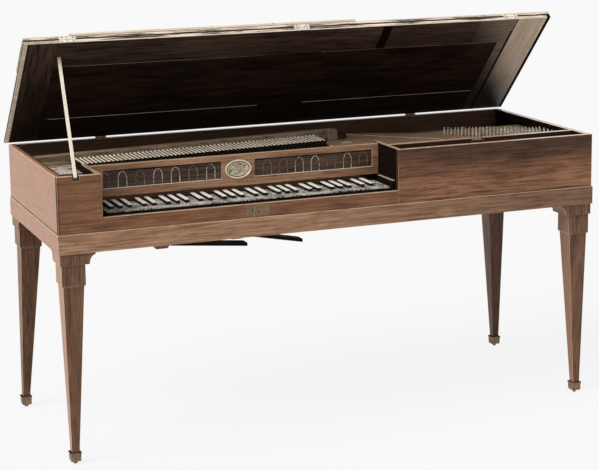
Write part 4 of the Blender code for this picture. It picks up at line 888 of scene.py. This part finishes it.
def makeTuningPins():
    # a slanting field of pins, one row deep at its left end and five or six at its right
    pins = {"columns": 28, "left": 1.308, "step": 0.0098, "back": 0.345, "slant": -0.47, "row": 0.022, "frontLimit": 0.126,
            "plank": -0.030, "top": -0.0055, "radius": 0.0021, "most": 122}
    foot = at(0, 0, pins["plank"])
    tall = pins["top"] - pins["plank"]
    pin = addRound("pin", (0, 0, pins["plank"] + tall / 2), pins["radius"], tall, "z", 8)
    mesh = startEdit(pin)
    for face in mesh.faces:
        face.select = face.normal.z > 0.9
    bmesh.update_edit_mesh(pin.data)
    bpy.ops.transform.translate(value=(0, 0, -0.009))
    bpy.ops.mesh.extrude_region_move(TRANSFORM_OT_translate={"value": (0, 0, 0.009)})
    bpy.ops.transform.resize(value=(0.55, 1.15, 1), center_override=foot + Vector((0, 0, tall)))
    endEdit()
    coil = addRound("coil", (0, 0, pins["plank"] + 0.006), pins["radius"] + 0.0009, 0.004, "z", 8)
    places = []
    for column in range(pins["columns"]):
        x = pins["left"] + column * pins["step"]
        for row in range(min(6, 1 + column // 3)):
            y = pins["back"] + (x - pins["left"]) * pins["slant"] - row * pins["row"]
            if y > pins["frontLimit"]:
                places.append((x + row * 0.0012, y))
    shafts, coils = [], []
    for x, y in places[-pins["most"]:]:
        place = Vector((x + random.uniform(-0.001, 0.001), y, random.uniform(-0.0010, 0.0008)))
        lean = Matrix.Rotation(random.uniform(-0.05, 0.05), 4, "Y")
        turn = lean @ Matrix.Rotation(random.uniform(0, math.pi), 4, "Z")
        shaft = copyOf(pin, "pin", Vector((0, 0, 0)))
        shaft.data.transform(Matrix.Translation(foot + place) @ turn @ Matrix.Translation(-foot))
        shafts.append(shaft)
        coils.append(copyOf(coil, "coil", Vector((place.x, place.y, 0))))
    bpy.data.objects.remove(pin)
    bpy.data.objects.remove(coil)
    settle(paint(joinAs("tuning_pins", shafts), metal("iron")))
    settle(paint(joinAs("tuning_pin_coils", coils), metal("oldBrass")))
    print("tuning pins done:", len(shafts))


# ---- stand

def makeBand():
    band = {"round": 0.0011, "top": -0.1573}
    for node, name, grain in (("front_rail", "front_band", "x"), ("back_rail", "back_band", "x"),
                              ("left_rail", "left_band", "y"), ("right_rail", "right_band", "y")):
        rail = takeNode(node, name)
        roundEdges(rail, band["round"], only=awayFrom(y=(0.027, 0.0273, 0.561, 0.5607), x=(0.027, 1.599)))
        # end faces get the end wood as painted light from the left; the right rail gets the darker farEnd as painted
        # shade
        outer = wood("band", grain) if grain == "x" else wood("bandEnd" if node == "left_rail" else "farEnd", grain)
        paintFaces(rail, [outer, wood("rim", grain), wood("plain", grain), wood("end", "y")],
                   lambda middle, normal: 1 if normal.z > 0.7 else (3 if abs(normal.x) > 0.7 and (middle.x < 0 or middle.x > caseWidth) else 0))
    print("band done")


def makeLegs():
    leg = {"round": 0.0008, "cupTop": -0.803 + 0.034, "rim": 0.0006}
    for corner in ("front_left", "front_right", "back_left", "back_right"):
        post = takeNode("leg_" + corner, "leg_" + corner + "_post")
        cutAt(post, "z", leg["cupTop"], keep="above")
        roundEdges(post, leg["round"], sharp=20, only=lambda a, b: abs(a.z - b.z) > 0.001 or a.z > -0.32)
        # left faces get the end wood as painted light, the right-hand leg a darker copy as painted shade; the back
        # legs' fronts are darker as painted shade
        front = "leg" if corner.startswith("front") else "backLeg"
        side = {"front_left": "end", "front_right": "farEnd"}.get(corner, "leg")
        paintFaces(post, [wood(front, "z"), wood(side, "z")], lambda middle, normal: 1 if normal.x < -0.8 else 0)
        cup = takeNode("leg_" + corner, "leg_" + corner + "_cup")
        cutAt(cup, "z", leg["cupTop"], keep="below")
        roundEdges(cup, leg["rim"], sharp=25, only=lambda a, b: True)
        paint(cup, metal("dullBrass"))
    print("legs done")


def makeCastors():
    castor = {"radius": 0.0085, "width": 0.0070, "cheek": 0.0012, "stem": 0.0035}
    for corner in ("front_left", "front_right", "back_left", "back_right"):
        node = "castor_" + corner
        low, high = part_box(node)
        middle = (low + high) / 2 - caseCorner
        turn = {"front_left": 20, "front_right": -25, "back_left": 35, "back_right": -10}[corner]
        axle = -0.803 + castor["radius"]
        wheel = addRound("wheel", (middle.x, middle.y, axle), castor["radius"], castor["width"], "x", 28)
        roundEdges(wheel, 0.0008, sharp=60)
        top = high.z - caseCorner.z
        stem = addRound("stem", (middle.x, middle.y, (axle + 0.009 + top) / 2), castor["stem"], top - axle - 0.009, "z", 14)
        plate = addBlock("plate", (middle.x - 0.0056, middle.x + 0.0056), (middle.y - 0.0048, middle.y + 0.0048),
                         (axle + 0.0087, axle + 0.0100))
        sides = []
        for x in (-0.0050, 0.0050):
            cheek = addBlock("cheek", (middle.x + x - castor["cheek"] / 2, middle.x + x + castor["cheek"] / 2),
                             (middle.y - 0.0042, middle.y + 0.0042), (axle - 0.0024, axle + 0.0090))
            roundEdges(cheek, 0.0009)
            sides.append(cheek)
        axleRod = addRound("axle", (middle.x, middle.y, axle), 0.0016, 0.0124, "x", 12)
        whole = joinAs("castor_" + corner + "_wheel", [wheel, stem, plate, axleRod, *sides])
        centre = at(middle.x, middle.y, 0)
        moveBy(whole, Matrix.Translation(centre) @ Matrix.Rotation(math.radians(turn), 4, "Z") @ Matrix.Translation(-centre))
        pickOnly(whole)
        bpy.ops.object.shade_smooth_by_angle(angle=math.radians(35))
        settle(paint(whole, metal("dullBrass")), node)
        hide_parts(node)
    print("castors done")


def makeKneeLevers():
    for side in ("left", "right"):
        paddle = takeNode("knee_lever_" + side, side + "_knee_paddle", "knee_" + side)
        roundEdges(paddle, 0.0012, sharp=40)
        paint(paddle, wood("knee"))
    blocks = takeNode("knee_blocks", "knee_lever_blocks")
    roundEdges(blocks, 0.0010)
    paint(blocks, wood("veneer"))
    print("knee levers done")


# ---- lid, flap and fall board

lidHinge = at(0, 0.5945, 0.0015)
flapHinge = at(0, 0.1395, 0.0126)
openLid = Matrix.Translation(lidHinge) @ Matrix.Rotation(-lidAngle, 4, "X") @ Matrix.Translation(-lidHinge)
foldFlap = openLid @ Matrix.Translation(flapHinge) @ Matrix.Rotation(math.pi, 4, "X") @ Matrix.Translation(-flapHinge)


def makeLid():
    # drawn with the lid shut; s is measured from the hinge side
    lid = {"bottom": 0.0003, "top": 0.0123, "leftJoint": 0.085, "rightJoint": 1.528, "joint": 0.0036, "bead": 0.0016,
           "sink": 0.0012, "panels": {"left": (0.100, 0.757), "right": (0.900, 1.492)}, "near": 0.100, "far": 0.345,
           "glareFrom": 1.400, "wideTill": 0.395, "leftLine": 0.0030, "rightLine": 1.6262, "stain": (1.075, 1.105),
           "arris": 0.0034, "seam": (0.0062, 0.0078), "gap": 0.0100}
    slab = takeNode("lid", "lid_slab", "lid", openLid)
    joints = (lid["leftJoint"], lid["leftJoint"] + lid["joint"] / 2, lid["rightJoint"] - 2.2 * lid["joint"],
              lid["rightJoint"] - lid["joint"], lid["rightJoint"])
    for x in (*joints, *lid["panels"]["left"], *lid["panels"]["right"], 0, lid["leftLine"], lid["rightLine"],
              *lid["stain"], lid["glareFrom"]):
        cutAt(slab, "x", x)
    for z in (lid["arris"], *lid["seam"], lid["gap"]):
        cutAt(slab, "z", z)
    for s in (lid["near"], lid["far"], lid["wideTill"]):
        cutAt(slab, "y", caseDepth - s)
    for span in lid["panels"].values():
        mesh = startEdit(slab)
        for face in mesh.faces:
            middle = face.calc_center_median() - caseCorner
            inPanel = span[0] < middle.x < span[1] and lid["near"] < caseDepth - middle.y < lid["far"]
            face.select = inPanel and face.normal.z < -0.9
        bmesh.update_edit_mesh(slab.data)
        bpy.ops.mesh.inset(thickness=lid["bead"], depth=0)
        bpy.ops.mesh.extrude_region_move(TRANSFORM_OT_translate={"value": (0, 0, lid["sink"])})
        endEdit()
    roundEdges(slab, 0.0016, sharp=60, only=lambda a, b: outerEdge(a, b, lid))

    # the underside is near black as painted shade, lighter towards the front edge as painted sheen, with painted glare
    # on the right; the edges are light as painted highlight, and black strips along the ends and at the gap to the flap
    # are painted shadow
    def choose(middle, normal):
        s = caseDepth - middle.y
        if normal.z > 0.9:
            return 1
        if normal.z > -0.9:                       # around the edge
            if middle.z > lid["gap"] or middle.x > caseWidth:
                return 6
            if middle.x < lid["leftJoint"] and normal.y < -0.4:
                return 7
            if normal.x < -0.4:
                return 6 if middle.z < lid["seam"][1] else 3
            return 3 if middle.z < lid["arris"] else 10
        if middle.x < 0:
            return 3
        if middle.x < lid["leftLine"] or middle.x > lid["rightLine"]:
            return 6
        if joints[0] < middle.x < joints[1] or joints[3] < middle.x < joints[4]:
            return 6
        if s < lid["wideTill"] and joints[2] < middle.x < joints[4]:
            return 6
        if s > lid["far"] + 0.01 and lid["stain"][0] < middle.x < lid["stain"][1]:
            return 6
        if middle.x < lid["leftJoint"]:
            return 2
        if middle.x > lid["rightJoint"]:
            return 5
        for left, right in lid["panels"].values():
            near = min(abs(s - lid["near"]), abs(s - lid["far"]))
            if near < lid["bead"] * 0.8 and left < middle.x < right:
                return 4
        if middle.x > lid["panels"]["right"][1] or middle.x > lid["glareFrom"] and s > lid["far"]:
            return 9
        return 8 if s > lid["far"] else 0
    paintFaces(slab, [wood("lidInside", "lid"), wood("veneer", "lid"), wood("lidClamp", "clamp"), wood("lidEdge", "lid"),
                      wood("bead", "lid"), wood("clampGlare", "clamp"), wood("black", "lid"), wood("clampEnd", "clamp"),
                      wood("lidFront", "lid"), wood("lidGlare", "lid"), wood("wavyEdge", "lid")], choose)
    moveBy(slab, openLid)
    print("lid done")


def outerEdge(a, b, lid):
    # the edges around the slab, not those of its panels
    rim = [end.z < lid["bottom"] + 0.0001 or end.z > lid["top"] - 0.0001 for end in (a, b)]
    around = [end.x < 0 or end.x > caseWidth or end.y < 0.1405 or end.y > 0.5905 for end in (a, b)]
    return all(rim) and all(around)


def makeFlapAndFall():
    # drawn with the lid shut; the edges that lie on another board when folded back, and the boards' end faces, are near
    # black as painted shade; the other edges are light as painted highlight
    flap = takeNode("lid_flap", "lid_flap_board", "flap", foldFlap)
    for z in (0.0040, 0.0100):
        cutAt(flap, "z", z)
    roundEdges(flap, 0.0016, sharp=60)
    paintFaces(flap, [wood("wavyEdge", "lid"), wood("veneer", "lid"), wood("black", "lid"), wood("lidEdge", "lid")],
               lambda middle, normal: 1 if abs(normal.z) > 0.9 else
               (2 if not 0.0026 < middle.z < 0.0105 or normal.x > 0.4 else (3 if middle.z < 0.0040 else 0)))
    moveBy(flap, foldFlap)
    fall = takeNode("fall_board", "fall_board_panel", "fall", foldFlap)
    roundEdges(fall, 0.0014, sharp=60)
    paintFaces(fall, [wood("lidEdge", "lid"), wood("veneer", "lid"), wood("black", "lid")],
               lambda middle, normal: 1 if abs(normal.z) > 0.9 else (2 if middle.z > -0.0012 or normal.x < -0.4 else 0))
    moveBy(fall, foldFlap)
    staples = []
    for x, wide in ((0.543, 0.0075), (0.9868, 0.0025)):
        staple = addBlock("staple", (x - wide, x + wide), (0.1318, 0.1350), (-0.0095 - 0.0026, -0.0090))
        roundEdges(staple, 0.0006)
        staples.append(moveBy(staple, foldFlap))
    settle(paint(joinAs("fall_staple_and_peg", staples), metal("darkIronAndShade")), "fall")
    print("flap and fall done")


def makeHinges():
    hinge = {"starts": (0.090, 0.7895, 1.478), "width": 0.047, "leaf": 0.0004, "screwIn": 0.008}
    for side in ("left", "right"):
        finishNode("lid_hinge_" + side, metal("dullBrass"))
    for side in ("left", "middle", "right"):
        finishNode("flap_hinge_" + side, metal("hinge"))
    leaves, lidScrews, flapScrews = [], [], []
    for start in hinge["starts"]:
        edge = 0.1387
        leaf = addBlock("leaf", (start, start + hinge["width"]), (edge, edge + hinge["leaf"]), (0.0030, 0.0105))
        roundEdges(leaf, 0.00012)
        leaves.append(moveBy(leaf, foldFlap))
        for x in (start + hinge["screwIn"], start + hinge["width"] - hinge["screwIn"]):
            for piece in addScrew("screw", (x, edge + hinge["leaf"] + 0.0001, 0.0062), "y", 0.0021, 0.0003):
                flapScrews.append(moveBy(piece, foldFlap))
            for piece in addScrew("screw", (x, 0.1403 - 0.0005 - 0.0001, 0.0055), "-y", 0.0021, 0.0003):
                lidScrews.append(moveBy(piece, openLid))
    settle(paint(joinAs("flap_hinge_leaves", leaves), metal("hinge")), "flap")
    settle(paint(joinAs("flap_hinge_leaf_screws", flapScrews), metal("darkIronAndShade")), "flap")
    settle(paint(joinAs("flap_hinge_screws", lidScrews), metal("darkIronAndShade")), "lid")
    print("hinges done")


def makeProp():
    stick = takeNode("prop_stick", "prop_rod", "prop")
    roundEdges(stick, 0.0009, sharp=60)
    paint(stick, wood("prop", "z"))
    print("prop done")


# ---- studio

def makeStudio():
    studio = {"floor": 60, "ambient": 0.33, "white": 1.0, "bounce": 0.62, "shown": 0.86,
              "key": 0.95, "keyFrom": (-0.72, -0.18, 0.67), "fill": 0.05, "fillFrom": (0.35, -0.75, 0.55)}
    bpy.ops.object.select_all(action="DESELECT")
    bpy.ops.mesh.primitive_plane_add(size=studio["floor"], location=(0, 0, 0))
    floor = bpy.context.active_object
    floor.name = "floor"
    paper = bpy.data.materials.new("paleFloor")
    paper.use_nodes = True
    tree = paper.node_tree
    tree.nodes.remove(tree.nodes["Principled BSDF"])
    matt = addNode(tree, "ShaderNodeBsdfDiffuse", {"Color": (studio["bounce"],) * 3 + (1,)})
    glow = addNode(tree, "ShaderNodeEmission", {"Color": (1, 1, 1, 1), "Strength": studio["white"]})
    seen = seenDirectly(tree)
    share = addNode(tree, "ShaderNodeMath", {0: seen, 1: studio["shown"]}, operation="MULTIPLY").outputs[0]
    both = addNode(tree, "ShaderNodeMixShader", {0: share, 1: matt.outputs[0], 2: glow.outputs[0]})
    tree.links.new(both.outputs[0], tree.nodes["Material Output"].inputs["Surface"])
    floor.data.materials.append(paper)

    world = bpy.data.worlds.new("studio")
    bpy.context.scene.world = world
    world.use_nodes = True
    tree = world.node_tree
    ambient = tree.nodes["Background"]
    ambient.inputs["Color"].default_value = (1, 1, 1, 1)
    ambient.inputs["Strength"].default_value = studio["ambient"]
    white = addNode(tree, "ShaderNodeBackground", {"Color": (1, 1, 1, 1), "Strength": studio["white"]})
    both = addNode(tree, "ShaderNodeMixShader", {0: seenDirectly(tree), 1: ambient.outputs[0], 2: white.outputs[0]})
    tree.links.new(both.outputs[0], tree.nodes["World Output"].inputs["Surface"])

    for name, strength, direction, softness in (("keyLamp", studio["key"], studio["keyFrom"], 40),
                                                ("fillLamp", studio["fill"], studio["fillFrom"], 90)):
        lamp = bpy.data.lights.new(name, "SUN")
        lamp.energy = strength * math.pi
        lamp.angle = math.radians(softness)
        holder = bpy.data.objects.new(name, lamp)
        holder.rotation_mode = "QUATERNION"
        holder.rotation_quaternion = Vector(direction).to_track_quat("Z", "Y")
        bpy.context.collection.objects.link(holder)
    print("studio done")


def seenDirectly(tree):
    # 1 for rays from the camera and for reflections
    path = addNode(tree, "ShaderNodeLightPath")
    first = addNode(tree, "ShaderNodeMath", {0: path.outputs["Is Camera Ray"], 1: path.outputs["Is Glossy Ray"]}, operation="MAXIMUM")
    second = addNode(tree, "ShaderNodeMath", {0: first.outputs[0], 1: path.outputs["Is Transmission Ray"]}, operation="MAXIMUM")
    return second.outputs[0]


def makeCamera():
    view = {"place": (-1.8328, -4.6328, 1.6247), "yaw": 0.3752, "pitch": 0.1775, "roll": -0.013,
            "focal": 1704.5, "width": 599, "drop": 72}
    yaw, pitch, roll = view["yaw"], view["pitch"], view["roll"]
    forward = Vector((math.sin(yaw) * math.cos(pitch), math.cos(yaw) * math.cos(pitch), -math.sin(pitch)))
    right = Vector((math.cos(yaw), -math.sin(yaw), 0))
    up = right.cross(forward)
    tilted = right * math.cos(roll) + up * math.sin(roll)
    upright = up * math.cos(roll) - right * math.sin(roll)
    data = bpy.data.cameras.new("camera")
    data.sensor_width = 36
    data.lens = 36 * view["focal"] / view["width"]
    data.shift_y = -view["drop"] / view["width"]
    data.clip_end = 200
    camera = bpy.data.objects.new("camera", data)
    camera.matrix_world = Matrix((
        (tilted.x, upright.x, -forward.x, view["place"][0]),
        (tilted.y, upright.y, -forward.y, view["place"][1]),
        (tilted.z, upright.z, -forward.z, view["place"][2]),
        (0, 0, 0, 1)))
    bpy.context.collection.objects.link(camera)
    bpy.context.scene.camera = camera
    bpy.context.scene.view_settings.view_transform = "Standard"
    print("camera done")


makeWalls()
makeCheeks()
makeKeySlip()
makeNameboard()
makeArches()
makePlaque()
makeKeys()
makeDampers()
makePlanks()
makeTuningPins()
makeBand()
makeLegs()
makeCastors()
makeKneeLevers()
makeLid()
makeFlapAndFall()
makeHinges()
makeProp()
makeStudio()
makeCamera()
